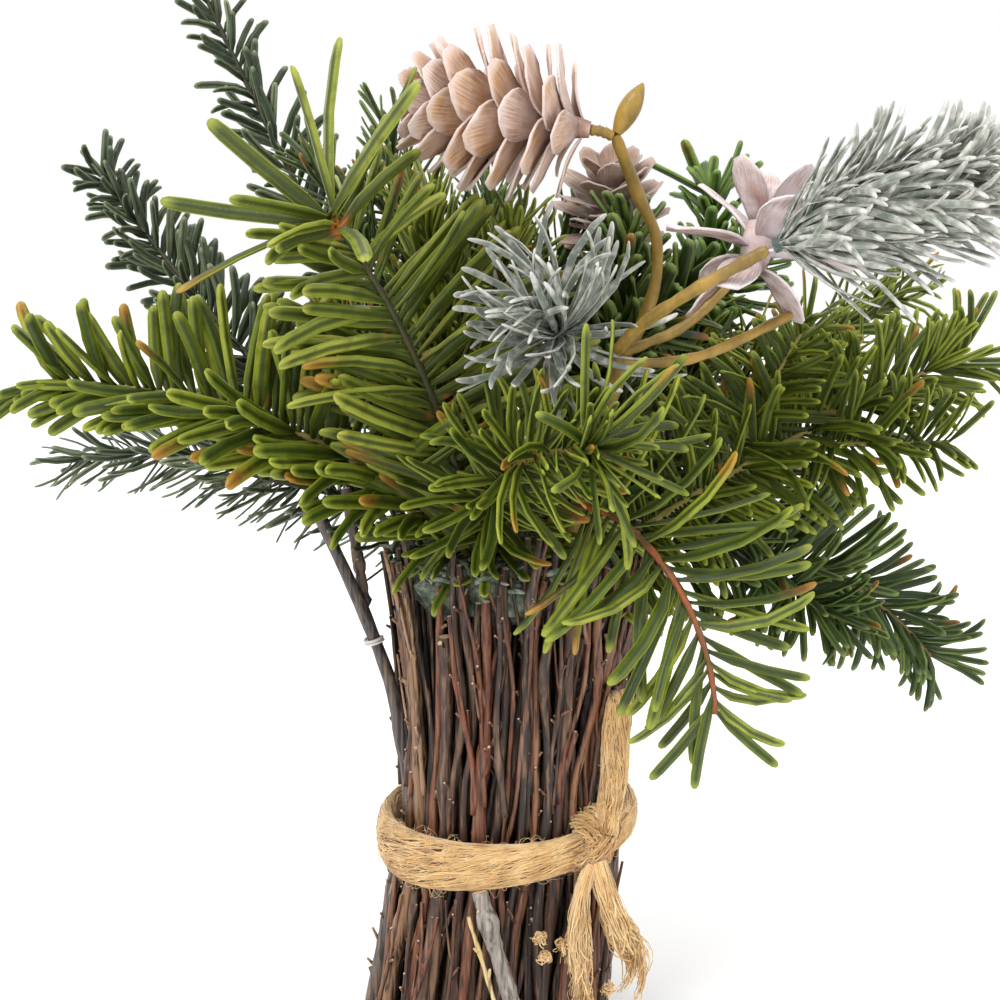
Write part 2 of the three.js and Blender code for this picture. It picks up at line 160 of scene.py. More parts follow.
def tangents(path: Array) -> Array:
    """The direction of a path at each of its points."""
    return unit(np.gradient(path, axis=0))


def frames(path: Array, face: Array | None = None) -> tuple[Array, Array, Array]:
    """Directions along, across and out of a path at each point.

    Args:
        path: The points.
        face: Where the out direction points as nearly as it can; without one it turns least.

    Returns:
        The along, across and out directions.
    """
    along = tangents(path)
    if face is not None:
        across = unit(np.cross(along, face))
        return along, across, np.cross(across, along)
    start = np.array([0.31, 0.95, 0.05])
    across = [unit(np.cross(along[0], start))]
    for t in along[1:]:
        last = across[-1]
        across.append(unit(last - t * np.dot(last, t)))
    across = np.array(across)
    return along, across, np.cross(across, along)


def straight(base: Point, tip: Point) -> tuple[Array, Array, Array, Array, float]:
    """The straight line between two points.

    Args:
        base: Its first point.
        tip: Its last point.

    Returns:
        Its first point, its along, across and out directions, and its length.
    """
    ends = np.array([base, tip], float)
    run = ends[1] - ends[0]
    _, across, out = (row[0] for row in frames(ends))
    return ends[0], unit(run), across, out, float(np.linalg.norm(run))


def around(across: Array, out: Array, turn: float) -> Array:
    """The direction at this turn, in radians, round a path, from its across and out directions."""
    return across * math.cos(turn) + out * math.sin(turn)


def any_way(rng: random.Random) -> Array:
    """A random vector with each part from -1 to 1."""
    return np.array([rng.uniform(-1, 1) for _ in range(3)])


def ring_faces(rows: int, sides: int) -> list[tuple[int, ...]]:
    """The side faces between rows of points that each go once round."""
    faces = []
    for i in range(rows - 1):
        for j in range(sides):
            a, b = i * sides + j, i * sides + (j + 1) % sides
            faces.append((a, b, b + sides, a + sides))
    return faces


def flipped(faces: Sequence[Sequence[int]]) -> list[tuple[int, ...]]:
    """The faces turned to look the other way."""
    return [tuple(reversed(face)) for face in faces]


def tilt(x: Array, z_near: Array) -> Matrix:
    """The rotation that takes +X to x and +Z as near to z_near as it can."""
    x = unit(x)
    y = unit(np.cross(z_near, x))
    z = np.cross(x, y)
    return Matrix((x, y, z)).transposed()


# ---------------------------------------------------------------- meshes


def linked(name: str, data: bpy.types.ID) -> bpy.types.Object:
    """A new object of a mesh, light or camera, at the origin, in the scene."""
    made = bpy.data.objects.new(name, data)
    bpy.context.collection.objects.link(made)
    return made


def write_value(mesh: bpy.types.Mesh, name: str, values: Array) -> None:
    """Stores a named number at each point of a mesh."""
    mesh.attributes.new(name, "FLOAT", "POINT").data.foreach_set("value", values)


class Shell:
    """Gathers closed surfaces, with values at their points, and makes one object of them."""

    # A cut end's flat as a share of its twig's radius
    LIP: ClassVar[float] = 0.84

    def __init__(self) -> None:
        """Starts with no points."""
        self.points: list[Array] = []
        self.faces: list[tuple[int, ...]] = []
        self.values: dict[str, list[Array]] = {}
        self.count = 0

    def add(self, points: Array, faces: Sequence[Sequence[int]], **values: float | Array) -> None:
        """Adds a surface.

        Args:
            points: Its points in millimetres, one to a row.
            faces: Its faces, as indices of those points.
            values: Named numbers for all its points, or one for each.
        """
        self.points.append(points)
        self.faces += [tuple(i + self.count for i in f) for f in faces]
        for name, value in values.items():
            self.values.setdefault(name, []).append(np.broadcast_to(value, len(points)))
        self.count += len(points)

    def tube(self, path: Array, radii: Array, sides: int, ends: float = 0.0,
             **values: float) -> None:
        """Adds a closed tube.

        Args:
            path: Its middle line.
            radii: Its radius at each point, or for each side of each point.
            sides: How many sides it has.
            ends: The value of "cut" on its flat ends.
            values: Named numbers for all its points.
        """
        _, across, out = frames(path)
        turn = np.linspace(0, FULL_TURN, sides, endpoint=False)[None, :, None]
        radii = radii[:, None] * np.ones(sides) if radii.ndim == 1 else radii
        ring = np.cos(turn) * across[:, None] + np.sin(turn) * out[:, None]
        body = path[:, None] + ring * radii[:, :, None]
        lip = [path[k] + (body[k] - path[k]) * self.LIP for k in (0, -1)]
        points = np.vstack([lip[0], body.reshape(-1, 3), lip[1], path[:1], path[-1:]])
        rows = len(path) + 2
        faces = [(a, d, c, b) for a, b, c, d in ring_faces(rows, sides)]
        first, last = rows * sides, rows * sides + 1
        for j in range(sides):
            k = (j + 1) % sides
            faces.append((first, j, k))
            faces.append((last, (rows - 1) * sides + k, (rows - 1) * sides + j))
        cut = np.zeros(len(points))
        cut[:sides] = ends
        cut[(rows - 1) * sides:] = ends
        along = np.concatenate([np.repeat(np.linspace(0, 1, rows), sides), [0, 1]])
        self.add(points, faces, cut=cut, along=along, **values)

    def make(self, name: str) -> bpy.types.Object:
        """Makes the object, in metres, at the origin.

        Args:
            name: The object's name.

        Returns:
            The object, smooth shaded, with no material.
        """
        mesh = bpy.data.meshes.new(name)
        points = np.vstack(self.points) * MM
        points[:, 2] = np.maximum(points[:, 2], 0.0)
        mesh.from_pydata(points, [], self.faces)
        for key, parts in self.values.items():
            write_value(mesh, key, np.concatenate(parts))
        mesh.shade_smooth()
        return linked(name, mesh)


class Strands:
    """Gathers thin lines, each with its radii and shade; a node tree makes them solid."""

    def __init__(self) -> None:
        """Starts with no lines."""
        self.paths: list[Array] = []
        self.radii: list[Array] = []
        self.tones: list[float] = []

    def add(self, path: Array, radius: float | Array, tone: float) -> None:
        """Adds a line with its radius and its shade."""
        self.paths.append(path)
        self.radii.append(np.broadcast_to(radius, len(path)))
        self.tones.append(tone)

    def make(self, name: str, sides: int, material: bpy.types.Material) -> bpy.types.Object:
        """Makes one object of all the lines.

        Args:
            name: The object's name.
            sides: How many sides each line's section has.
            material: Its material.

        Returns:
            The object, a plain mesh.
        """
        edges, start = [], 0
        for path in self.paths:
            edges += [(start + i, start + i + 1) for i in range(len(path) - 1)]
            start += len(path)
        mesh = bpy.data.meshes.new(name)
        mesh.from_pydata(np.vstack(self.paths) * MM, edges, [])
        write_value(mesh, "radius", np.concatenate(self.radii) * MM)
        lengths = [len(p) for p in self.paths]
        write_value(mesh, "tone", np.repeat(self.tones, lengths))
        write_value(mesh, "along", np.concatenate([np.linspace(0, 1, n) for n in lengths]))
        return grown(linked(name, mesh), thicken_tree(), {"Sides": sides, "Material": material})


# ---------------------------------------------------------------- geometry nodes


class Tree:
    """A small helper that adds and links the nodes of one node tree."""

    def __init__(self, tree: bpy.types.NodeTree) -> None:
        """Wraps a node tree."""
        self.tree = tree

    def node(self, kind: str, links: dict | None = None, **settings: object) -> bpy.types.Node:
        """Adds a node.

        Args:
            kind: Its type name.
            links: For each input, by name or index, a value or the output that feeds it.
            settings: Its own properties.

        Returns:
            The node.
        """
        made = self.tree.nodes.new(kind)
        for key, value in settings.items():
            setattr(made, key, value)
        for key, value in (links or {}).items():
            self.feed(made.inputs[key], value)
        return made

    def feed(self, socket: Socket, value: object) -> None:
        """Gives an input a value, or links the output that feeds it."""
        if isinstance(value, Socket):
            self.tree.links.new(value, socket)
        else:
            socket.default_value = value

    def named(self, name: str, kind: str = "FLOAT") -> Socket:
        """The output of a geometry node that reads a named value of the points."""
        found = self.node("GeometryNodeInputNamedAttribute", {"Name": name}, data_type=kind)
        return found.outputs["Attribute"]


def new_geometry_tree(name: str, inputs: dict[str, str]) -> Tree:
    """Starts a geometry node tree with a Geometry input and output.

    Args:
        name: The tree's name.
        inputs: The socket type of each further named input.

    Returns:
        The tree.
    """
    group = bpy.data.node_groups.new(name, "GeometryNodeTree")
    group.interface.new_socket("Geometry", in_out="INPUT", socket_type="NodeSocketGeometry")
    for label, kind in inputs.items():
        group.interface.new_socket(label, in_out="INPUT", socket_type=kind)
    group.interface.new_socket("Geometry", in_out="OUTPUT", socket_type="NodeSocketGeometry")
    return Tree(group)


def close_tree(tree: Tree, geometry: Socket, source: bpy.types.Node) -> bpy.types.NodeTree:
    """Ends a tree in Realize Instances, Set Material and its output."""
    real = tree.node("GeometryNodeRealizeInstances", {"Geometry": geometry})
    dressed = tree.node(
        "GeometryNodeSetMaterial",
        {"Geometry": real.outputs["Geometry"], "Material": source.outputs["Material"]},
    )
    tree.node("NodeGroupOutput", {"Geometry": dressed.outputs["Geometry"]})
    return tree.tree


def thicken_tree() -> bpy.types.NodeTree:
    """The tree that turns lines with a radius into closed round strands."""
    name = "Thicken strands"
    if name in bpy.data.node_groups:
        return bpy.data.node_groups[name]
    tree = new_geometry_tree(name, {"Sides": "NodeSocketInt", "Material": "NodeSocketMaterial"})
    source = tree.node("NodeGroupInput")
    curve = tree.node("GeometryNodeMeshToCurve", {"Mesh": source.outputs["Geometry"]})
    sized = tree.node(
        "GeometryNodeSetCurveRadius",
        {"Curve": curve.outputs["Curve"], "Radius": tree.named("radius")},
    )
    ring = tree.node(
        "GeometryNodeCurvePrimitiveCircle",
        {"Resolution": source.outputs["Sides"], "Radius": 1.0},
    )
    links = {"Curve": sized.outputs["Curve"], "Profile Curve": ring.outputs["Curve"]}
    body = tree.node("GeometryNodeCurveToMesh", {**links, "Fill Caps": True})
    if "Scale" in body.inputs:
        tree.tree.links.new(tree.named("radius"), body.inputs["Scale"])
    return close_tree(tree, body.outputs["Mesh"], source)


def scatter_tree() -> bpy.types.NodeTree:
    """The tree that puts a collection's shape on each point, turned and sized as it says."""
    name = "Scatter shapes"
    if name in bpy.data.node_groups:
        return bpy.data.node_groups[name]
    kinds = {"Shapes": "NodeSocketCollection", "Material": "NodeSocketMaterial"}
    tree = new_geometry_tree(name, kinds)
    source = tree.node("NodeGroupInput")
    shapes = tree.node(
        "GeometryNodeCollectionInfo",
        {"Collection": source.outputs["Shapes"], "Separate Children": True, "Reset Children": True},
    )
    turned = tree.node("FunctionNodeEulerToRotation", {"Euler": tree.named("turn", "FLOAT_VECTOR")})
    placed = tree.node(
        "GeometryNodeInstanceOnPoints",
        {
            "Points": source.outputs["Geometry"],
            "Instance": shapes.outputs["Instances"],
            "Pick Instance": True,
            "Instance Index": tree.named("shape", "INT"),
            "Rotation": turned.outputs["Rotation"],
            "Scale": tree.named("size", "FLOAT_VECTOR"),
        },
    )
    return close_tree(tree, placed.outputs["Instances"], source)


def grown(seed: bpy.types.Object, tree: bpy.types.NodeTree,
          inputs: dict[str, object]) -> bpy.types.Object:
    """Runs a node tree on an object and keeps the result as a plain mesh.

    Args:
        seed: The object that the tree starts from, which is removed.
        tree: The node tree.
        inputs: The tree's inputs by name.

    Returns:
        The new object, with the seed's name.
    """
    name = seed.name
    modifier = seed.modifiers.new("Grow", "NODES")
    modifier.node_group = tree
    for item in tree.interface.items_tree:
        if item.in_out == "INPUT" and item.name in inputs:
            modifier[item.identifier] = inputs[item.name]
    depsgraph = bpy.context.evaluated_depsgraph_get()
    mesh = bpy.data.meshes.new_from_object(
        seed.evaluated_get(depsgraph), preserve_all_data_layers=True, depsgraph=depsgraph
    )
    bpy.data.objects.remove(seed)
    mesh.name = name
    mesh.shade_smooth()
    return linked(name, mesh)


class Scatter:
    """Gathers the places of many copies of a few shapes, and makes one object of them."""

    def __init__(self, shapes: bpy.types.Collection) -> None:
        """Starts with no copies of a collection's shapes."""
        self.shapes = shapes
        self.places: list[Array] = []
        self.turns: list[Point] = []
        self.sizes: list[Point] = []
        self.picks: list[int] = []
        self.tones: list[float] = []

    def add(self, place: Array, turn: Matrix, size: Sequence[float], pick: int,
            tone: float) -> None:
        """Adds one copy at a place, with its turn, its size along each of its axes and a shade."""
        self.places.append(place)
        self.turns.append(tuple(turn.to_euler()))
        self.sizes.append(tuple(size))
        self.picks.append(pick)
        self.tones.append(tone)

    def make(self, name: str, material: bpy.types.Material) -> bpy.types.Object:
        """Makes one object of all the copies, a plain mesh, with this material."""
        mesh = bpy.data.meshes.new(name)
        mesh.from_pydata(np.array(self.places) * MM, [], [])
        for key, values in (("turn", self.turns), ("size", np.array(self.sizes) * MM)):
            store = mesh.attributes.new(key, "FLOAT_VECTOR", "POINT")
            store.data.foreach_set("vector", np.array(values, np.float32).ravel())
        mesh.attributes.new("shape", "INT", "POINT").data.foreach_set("value", self.picks)
        write_value(mesh, "tone", np.array(self.tones))
        inputs = {"Shapes": self.shapes, "Material": material}
        return grown(linked(name, mesh), scatter_tree(), inputs)


def joined(name: str, parts: Sequence[bpy.types.Object]) -> bpy.types.Object:
    """Joins objects into the first one and names it."""
    with bpy.context.temp_override(
        active_object=parts[0], object=parts[0],
        selected_objects=list(parts), selected_editable_objects=list(parts),
    ):
        bpy.ops.object.join()
    parts[0].name = name
    parts[0].data.name = name
    return parts[0]


# ---------------------------------------------------------------- materials


class Paint(Tree):
    """Helper for shader trees: textures on the object's own coordinates, mixes, ramps and bumps."""

    def __init__(self, name: str) -> None:
        """Starts a material with its shader and output."""
        self.material = bpy.data.materials.new(name)
        self.material.use_nodes = True
        super().__init__(self.material.node_tree)
        self.tree.nodes.clear()
        self.shader = self.node("ShaderNodeBsdfPrincipled")
        self.node("ShaderNodeOutputMaterial", {"Surface": self.shader.outputs["BSDF"]})
        self.place = self.node("ShaderNodeTexCoord").outputs["Object"]

    def value(self, name: str) -> Socket:
        """The number stored under this name at the surface's points."""
        return self.node("ShaderNodeAttribute", attribute_name=name).outputs["Fac"]

    def math(self, kind: str, a: object, b: object = 0.0) -> Socket:
        """One step of arithmetic on two numbers."""
        return self.node("ShaderNodeMath", {0: a, 1: b}, operation=kind).outputs[0]

    def times(self, a: object, b: object) -> Socket:
        """Two numbers multiplied."""
        return self.math("MULTIPLY", a, b)

    def noise(self, size_mm: float, detail: float = 3.0, seed: object = None,
              stretch: Sequence[float] = (1, 1, 1)) -> Socket:
        """A noise pattern.

        Args:
            size_mm: The size of its features.
            detail: How many finer layers it has.
            seed: A number to look the pattern up elsewhere for each piece, if any.
            stretch: How much longer its features are along each axis.

        Returns:
            The noise, about 0 to 1.
        """
        scale = tuple(1 / s for s in stretch)
        at = self.node("ShaderNodeMapping", {"Vector": self.place, "Scale": scale}).outputs[0]
        if seed is not None:
            far = self.times(seed, 7.0)
            at = self.node("ShaderNodeVectorMath", {0: at, 1: far}, operation="ADD").outputs[0]
        links = {"Vector": at, "Scale": 1 / (size_mm * MM), "Detail": detail}
        return self.node("ShaderNodeTexNoise", links).outputs["Fac"]

    def between(self, value: object, low: float, high: float) -> Socket:
        """value taken from low..high to 0..1 and held there."""
        links = {"Value": value, "From Min": low, "From Max": high}
        return self.node("ShaderNodeMapRange", links, interpolation_type="SMOOTHSTEP").outputs[0]

    def either(self, a: Socket, a_range: tuple[float, float], b: Socket,
               b_range: tuple[float, float]) -> Socket:
        """The larger of two numbers, each taken from its range to 0..1."""
        return self.math("MAXIMUM", self.between(a, *a_range), self.between(b, *b_range))

    def mix(self, share: object, a: object, b: object) -> Socket:
        """Two colours mixed by a share from 0 to 1."""
        made = self.node("ShaderNodeMix", data_type="RGBA", blend_type="MIX")
        for socket, value in ((made.inputs[0], share), (made.inputs[6], a), (made.inputs[7], b)):
            self.feed(socket, (*value[:3], 1.0) if isinstance(value, tuple) else value)
        return made.outputs[2]

    def tint(self, base: object, colour: Colour, most: float, value: Socket, low: float,
             high: float) -> Socket:
        """A base with up to this much of a colour over it, as a number goes from low to high.

        Args:
            base: The colour underneath.
            colour: The colour over it.
            most: The colour's share where the number is at high.
            value: The number.
            low: The number where none of the colour shows.
            high: The number where the most of it shows.

        Returns:
            The mixed colour.
        """
        return self.mix(self.times(self.between(value, low, high), most), base, colour)

    def ramp(self, value: object, stops: Stops) -> Socket:
        """A colour picked along a row of stops by a number."""
        made = self.node("ShaderNodeValToRGB", {"Fac": value})
        bar = made.color_ramp.elements
        while len(bar) < len(stops):
            bar.new(0.5)
        for element, (at, colour) in zip(bar, stops):
            element.position = at
            element.color = (*colour, 1.0)
        return made.outputs["Color"]

    def finish(self, colour: Socket, rough: object, bump: object, depth_mm: float,
               **sockets: float) -> bpy.types.Material:
        """Links the colour, roughness and bump to the shader.

        Args:
            colour: The colour.
            rough: The roughness.
            bump: The height pattern.
            depth_mm: How deep the pattern is.
            sockets: Further shader inputs, with _ for a space.

        Returns:
            The material.
        """
        links = {"Height": bump, "Distance": depth_mm * MM, "Strength": 1.0}
        normal = self.node("ShaderNodeBump", links).outputs["Normal"]
        for key, value in {"Base Color": colour, "Roughness": rough, "Normal": normal}.items():
            self.feed(self.shader.inputs[key], value)
        for key, value in sockets.items():
            self.shader.inputs[key.replace("_", " ")].default_value = value
        return self.material


@dataclass(frozen=True)
class BarkFinish:
    """Thin bark with long cracks and worn patches, and pale cut wood; its darkest tones are painted
    shade on the twigs deep in the bunch.
    """

    name: str
    stops: Stops
    crack: Colour = (0.008, 0.005, 0.004)
    worn: Colour = (0.31, 0.178, 0.098)
    wood: Colour = (0.74, 0.56, 0.34)

    def build(self) -> bpy.types.Material:
        """Makes the material."""
        paint = Paint(self.name)
        tone = paint.value("tone")
        own = paint.ramp(tone, self.stops)
        grain = paint.noise(0.75, 5, tone, (1, 1, 14))
        patch = paint.noise(7, 4, tone, (1, 1, 3.5))
        base = paint.tint(own, self.worn, 0.5, patch, 0.5, 0.72)
        base = paint.tint(base, self.worn, 0.5, grain, 0.54, 0.66)
        base = paint.tint(base, self.crack, 0.9, grain, 0.5, 0.36)
        wood = paint.mix(paint.noise(0.7, 2), self.wood, tuple(0.62 * c for c in self.wood))
        colour = paint.mix(paint.value("cut"), base, wood)
        rough = paint.math("ADD", paint.times(grain, 0.4), 0.28)
        height = paint.math("ADD", grain, paint.times(patch, 0.5))
        return paint.finish(colour, rough, height, 0.5, Specular_IOR_Level=0.55)


@dataclass(frozen=True)
class NeedleFinish:
    """Moulded fir needles: one green for most of each, painted shade towards the root and along the
    middle groove, a painted highlight on the edges and tip, and a few orange-red spots.
    """

    name: str
    deep: Colour
    green: Colour
    pale: Colour
    spot: Colour = (0.5, 0.15, 0.025)
    spots: float = 0.5

    def build(self) -> bpy.types.Material:
        """Makes the material."""
        paint = Paint(self.name)
        tone, along, across = paint.value("tone"), paint.value("along"), paint.value("across")
        own = paint.ramp(tone, ((0.0, self.deep), (0.5, self.green), (1.0, self.pale)))
        own = paint.tint(own, self.deep, 0.5, paint.noise(4, 3, tone), 0.45, 0.7)
        # Painted shade: darker towards each needle's root, among the others, and along its middle
        # groove.
        own = paint.tint(own, self.deep, 0.8, along, 0.5, 0.0)
        own = paint.tint(own, self.deep, 0.85, across, 0.55, 0.1)
        # Painted highlight: paler on each needle's edges and tip.
        painted_highlight = paint.either(across, (0.72, 0.98), along, (0.88, 1.0))
        own = paint.mix(paint.times(painted_highlight, 0.68), own, self.pale)
        own = paint.mix(self.rust(paint, tone, along), own, self.spot)
        return paint.finish(own, 0.4, paint.noise(0.45), 0.12, Specular_IOR_Level=0.4)

    def rust(self, paint: Paint, tone: Socket, along: Socket) -> Socket:
        """The share of orange-red: on some needles' tips, and in spots at the roots of others."""
        rare, few = 0.72 - 0.12 * self.spots, 0.96 - 0.09 * self.spots
        blot = paint.between(paint.noise(9, 1), rare, rare + 0.08)
        root = paint.times(blot, paint.between(along, 0.24, 0.04))
        chosen = paint.between(paint.math("FRACT", paint.times(tone, 37.0)), few, few + 0.01)
        ragged = paint.math("ADD", along, paint.times(paint.noise(1.2), 0.3))
        tip = paint.times(chosen, paint.between(ragged, 0.78, 1.32))
        return paint.times(paint.math("MAXIMUM", root, tip), 0.8)


@dataclass(frozen=True)
class StemFinish:
    """Moulded stems: two close colours in soft patches, with a fine tooth."""

    name: str
    main: Colour
    shade: Colour
    roughness: float = 0.45

    def build(self) -> bpy.types.Material:
        """Makes the material."""
        paint = Paint(self.name)
        patch = paint.noise(5, 4, stretch=(1, 1, 2))
        fine = paint.noise(0.8, stretch=(1, 1, 2))
        share = paint.between(paint.math("ADD", patch, paint.times(fine, 0.3)), 0.45, 0.85)
        return paint.finish(paint.mix(share, self.main, self.shade), self.roughness, fine, 0.2)


@dataclass(frozen=True)
class JuteFinish:
    """Jute fibre: golden tan, each strand with its own shade."""

    name: str = "Jute fibre"
    dark: Colour = (0.42, 0.22, 0.06)
    main: Colour = (0.69, 0.41, 0.15)
    pale: Colour = (0.92, 0.66, 0.33)

    def build(self) -> bpy.types.Material:
        """Makes the material."""
        paint = Paint(self.name)
        stops = ((0.0, self.dark), (0.45, self.main), (1.0, self.pale))
        own = paint.ramp(paint.value("tone"), stops)
        fleck = paint.noise(4.5, 5)
        own = paint.tint(own, self.dark, 0.6, fleck, 0.5, 0.7)
        own = paint.tint(own, self.pale, 0.55, fleck, 0.48, 0.34)
        fine = paint.noise(0.3, 2)
        return paint.finish(own, 0.85, fine, 0.12, Sheen_Weight=0.5, Specular_IOR_Level=0.2)


@dataclass(frozen=True)
class ScaleFinish:
    """Cone scales: woody, finely grooved, with painted shade towards their roots, dusted with a
    pale wash that the edges hold.
    """

    name: str
    wood: Colour
    deep: Colour
    wash: Colour
    washed: float

    def build(self) -> bpy.types.Material:
        """Makes the material."""
        paint = Paint(self.name)
        tone, along, across = paint.value("tone"), paint.value("along"), paint.value("across")
        groove = self.grooves(paint, across, along)
        # Painted shade: darker towards each scale's root, between the scales.
        own = paint.mix(paint.between(along, 0.0, 0.75), self.deep, self.wood)
        own = paint.tint(own, self.wash, 0.5, tone, 0.45, 0.95)
        own = paint.tint(own, self.deep, 0.62, groove, 0.42, 0.66)
        dust = paint.noise(4.5, 5, tone)
        own = paint.tint(own, self.wash, self.washed, dust, 0.5 - 0.3 * self.washed, 0.8)
        rim = paint.either(along, (0.88, 1.0), across, (0.86, 1.0))
        own = paint.mix(paint.times(rim, 0.55), own, self.wash)
        return paint.finish(own, 0.68, groove, 0.4, Specular_IOR_Level=0.35)

    @staticmethod
    def grooves(paint: Paint, across: Socket, along: Socket) -> Socket:
        """Fine lines that run from a scale's root to its rim."""
        axes = {"X": paint.times(across, 9.0), "Y": paint.times(along, 0.9)}
        place = paint.node("ShaderNodeCombineXYZ", axes).outputs[0]
        links = {"Vector": place, "Scale": 2.2, "Detail": 4.0}
        return paint.node("ShaderNodeTexNoise", links).outputs["Fac"]


@dataclass(frozen=True)
class FrostFinish:
    """Grey-teal needles with painted shade towards their roots, and white frosting on their tips
    and in patches.
    """

    name: str = "Frosted needles"
    deep: Colour = (0.06, 0.085, 0.07)
    main: Colour = (0.25, 0.285, 0.235)
    frost: Colour = (0.82, 0.79, 0.74)
    frosted: float = 0.5

    def build(self) -> bpy.types.Material:
        """Makes the material."""
        paint = Paint(self.name)
        tone, along, across = paint.value("tone"), paint.value("along"), paint.value("across")
        # Painted shade: darker towards each needle's root, deep in the plume.
        own = paint.mix(paint.between(along, 0.0, 0.5), self.deep, self.main)
        own = paint.mix(paint.times(tone, 0.45), own, self.deep)
        crust = paint.noise(2.6, 5, tone)
        low, high = 0.62 - 0.36 * self.frosted, 0.95 - 0.3 * self.frosted
        own = paint.tint(own, self.frost, 0.85, crust, low, high)
        rim = paint.either(across, (0.65, 1.0), along, (0.85, 1.0))
        own = paint.mix(paint.times(rim, 0.55), own, self.frost)
        return paint.finish(own, 0.55, crust, 0.25, Specular_IOR_Level=0.4)


@dataclass(frozen=True)
class MossFinish:
    """Crumbled dry moss, grey-green with pale crumbs."""

    name: str = "Dry moss"
    stops: Stops = (
        (0.3, (0.035, 0.045, 0.03)), (0.5, (0.13, 0.16, 0.115)), (0.7, (0.36, 0.38, 0.31)))

    def build(self) -> bpy.types.Material:
        """Makes the material."""
        paint = Paint(self.name)
        own = paint.ramp(paint.noise(2.5, 5), self.stops)
        return paint.finish(own, 0.95, paint.noise(0.8, 4), 0.8, Specular_IOR_Level=0.2)


# ---------------------------------------------------------------- twigs


@dataclass
class Twig:
    """One cut twig: swollen a little at its buds, with stubs of side shoots.

    Attributes:
        path: Its middle line, from its foot to its top.
        radius: Its radius at the foot.
        tone: Which of the bark's shades it has, from 0 to 1.
        taper: Its radius at the top as a share of the foot's.
        sides: How many sides its section has.
        stubs: How many stubs it has.
        shoots: How many long thin side shoots it has.
    """

    path: Array
    radius: float
    tone: float
    taper: float = 0.8
    sides: int = 7
    stubs: int = 3
    shoots: int = 0

    # How far its surface departs from round, in shares of its radius
    LUMP: ClassVar[float] = 0.09
    WAVE: ClassVar[float] = 0.07
    BUD: ClassVar[float] = 0.28

    def carve(self, shell: Shell, rng: random.Random) -> None:
        """Adds the twig to a shell, with rng for its small differences."""
        count = len(self.path)
        t = np.linspace(0, 1, count)
        radii = self.radius * (1 + (self.taper - 1) * t)
        radii *= 1 + self.WAVE * np.sin(t * rng.uniform(20, 34) + rng.uniform(0, 6))
        buds = sorted(rng.uniform(0.06, 0.97) for _ in range(self.stubs))
        for at in buds:
            radii += self.radius * self.BUD * np.exp(-(((t - at) * count / 1.3) ** 2))
        rough = [[rng.uniform(-1, 1) for _ in range(self.sides)] for _ in range(count)]
        lumps = 1 + self.LUMP * np.array(rough)
        shell.tube(self.path, radii[:, None] * lumps, self.sides, ends=1.0, tone=self.tone)
        self.add_stubs(shell, rng, buds, radii)
        self.add_shoots(shell, rng, radii)

    def add_shoots(self, shell: Shell, rng: random.Random, radii: Array) -> None:
        """Adds long thin shoots that leave the twig and run up beside it to a cut tip."""
        along, across, out = frames(self.path)
        for _ in range(self.shoots):
            i = rng.randrange(len(self.path) // 4, len(self.path) - 3)
            side = around(across[i], out[i], rng.uniform(0, FULL_TURN))
            reach = rng.uniform(7, 20)
            t = np.linspace(0, 1, 6)[:, None]
            line = self.path[i] + along[i] * reach * t + side * (radii[i] + 0.16 * reach) * t**0.7
            thin = min(0.62, 0.5 * self.radius) * rng.uniform(0.8, 1.1)
            tone = min(1.0, self.tone + rng.uniform(0, 0.3))
            shell.tube(line, thin * (1.25 - 0.45 * t[:, 0]), 5, ends=1.0, tone=tone)

    def add_stubs(self, shell: Shell, rng: random.Random, buds: Sequence[float],
                  radii: Array) -> None:
        """Adds a short cut side shoot at each bud."""
        along, across, out = frames(self.path)
        for at in buds:
            i = min(len(self.path) - 2, max(1, round(at * (len(self.path) - 1))))
            side = around(across[i], out[i], rng.uniform(0, FULL_TURN))
            aim = unit(along[i] * rng.uniform(0.7, 1.5) + side)
            reach = radii[i] + rng.choice((0.6, 1.0, 1.4, 2.0, 3.0))
            line = self.path[i] + aim * np.array([0.0, 0.6, 1.0])[:, None] * reach
            girth = max(0.36, self.radius * rng.uniform(0.32, 0.5)) * np.array([1.3, 1.0, 0.8])
            shell.tube(line, girth, 5, ends=1.0, tone=min(1.0, self.tone + 0.1))


BARK = BarkFinish("Brown bark", (
    (0.0, (0.005, 0.003, 0.002)), (0.16, (0.031, 0.015, 0.009)), (0.36, (0.08, 0.033, 0.017)),
    (0.56, (0.18, 0.05, 0.018)), (0.76, (0.21, 0.104, 0.048)), (1.0, (0.44, 0.28, 0.15))))
DARK_BARK = BarkFinish("Dark grey bark", (
    (0.0, (0.03, 0.026, 0.028)), (0.5, (0.06, 0.05, 0.047)), (1.0, (0.12, 0.1, 0.09))))
GREY_BARK = BarkFinish("Weathered grey bark", (
    (0.0, (0.17, 0.15, 0.13)), (0.5, (0.27, 0.235, 0.2)), (1.0, (0.4, 0.33, 0.24))),
    crack=(0.07, 0.055, 0.045), worn=(0.5, 0.44, 0.36))
STRAW = BarkFinish("Straw stalk", (
    (0.0, (0.5, 0.36, 0.14)), (0.5, (0.6, 0.44, 0.18)), (1.0, (0.7, 0.55, 0.27))),
    crack=(0.24, 0.15, 0.05), worn=(0.75, 0.62, 0.36))


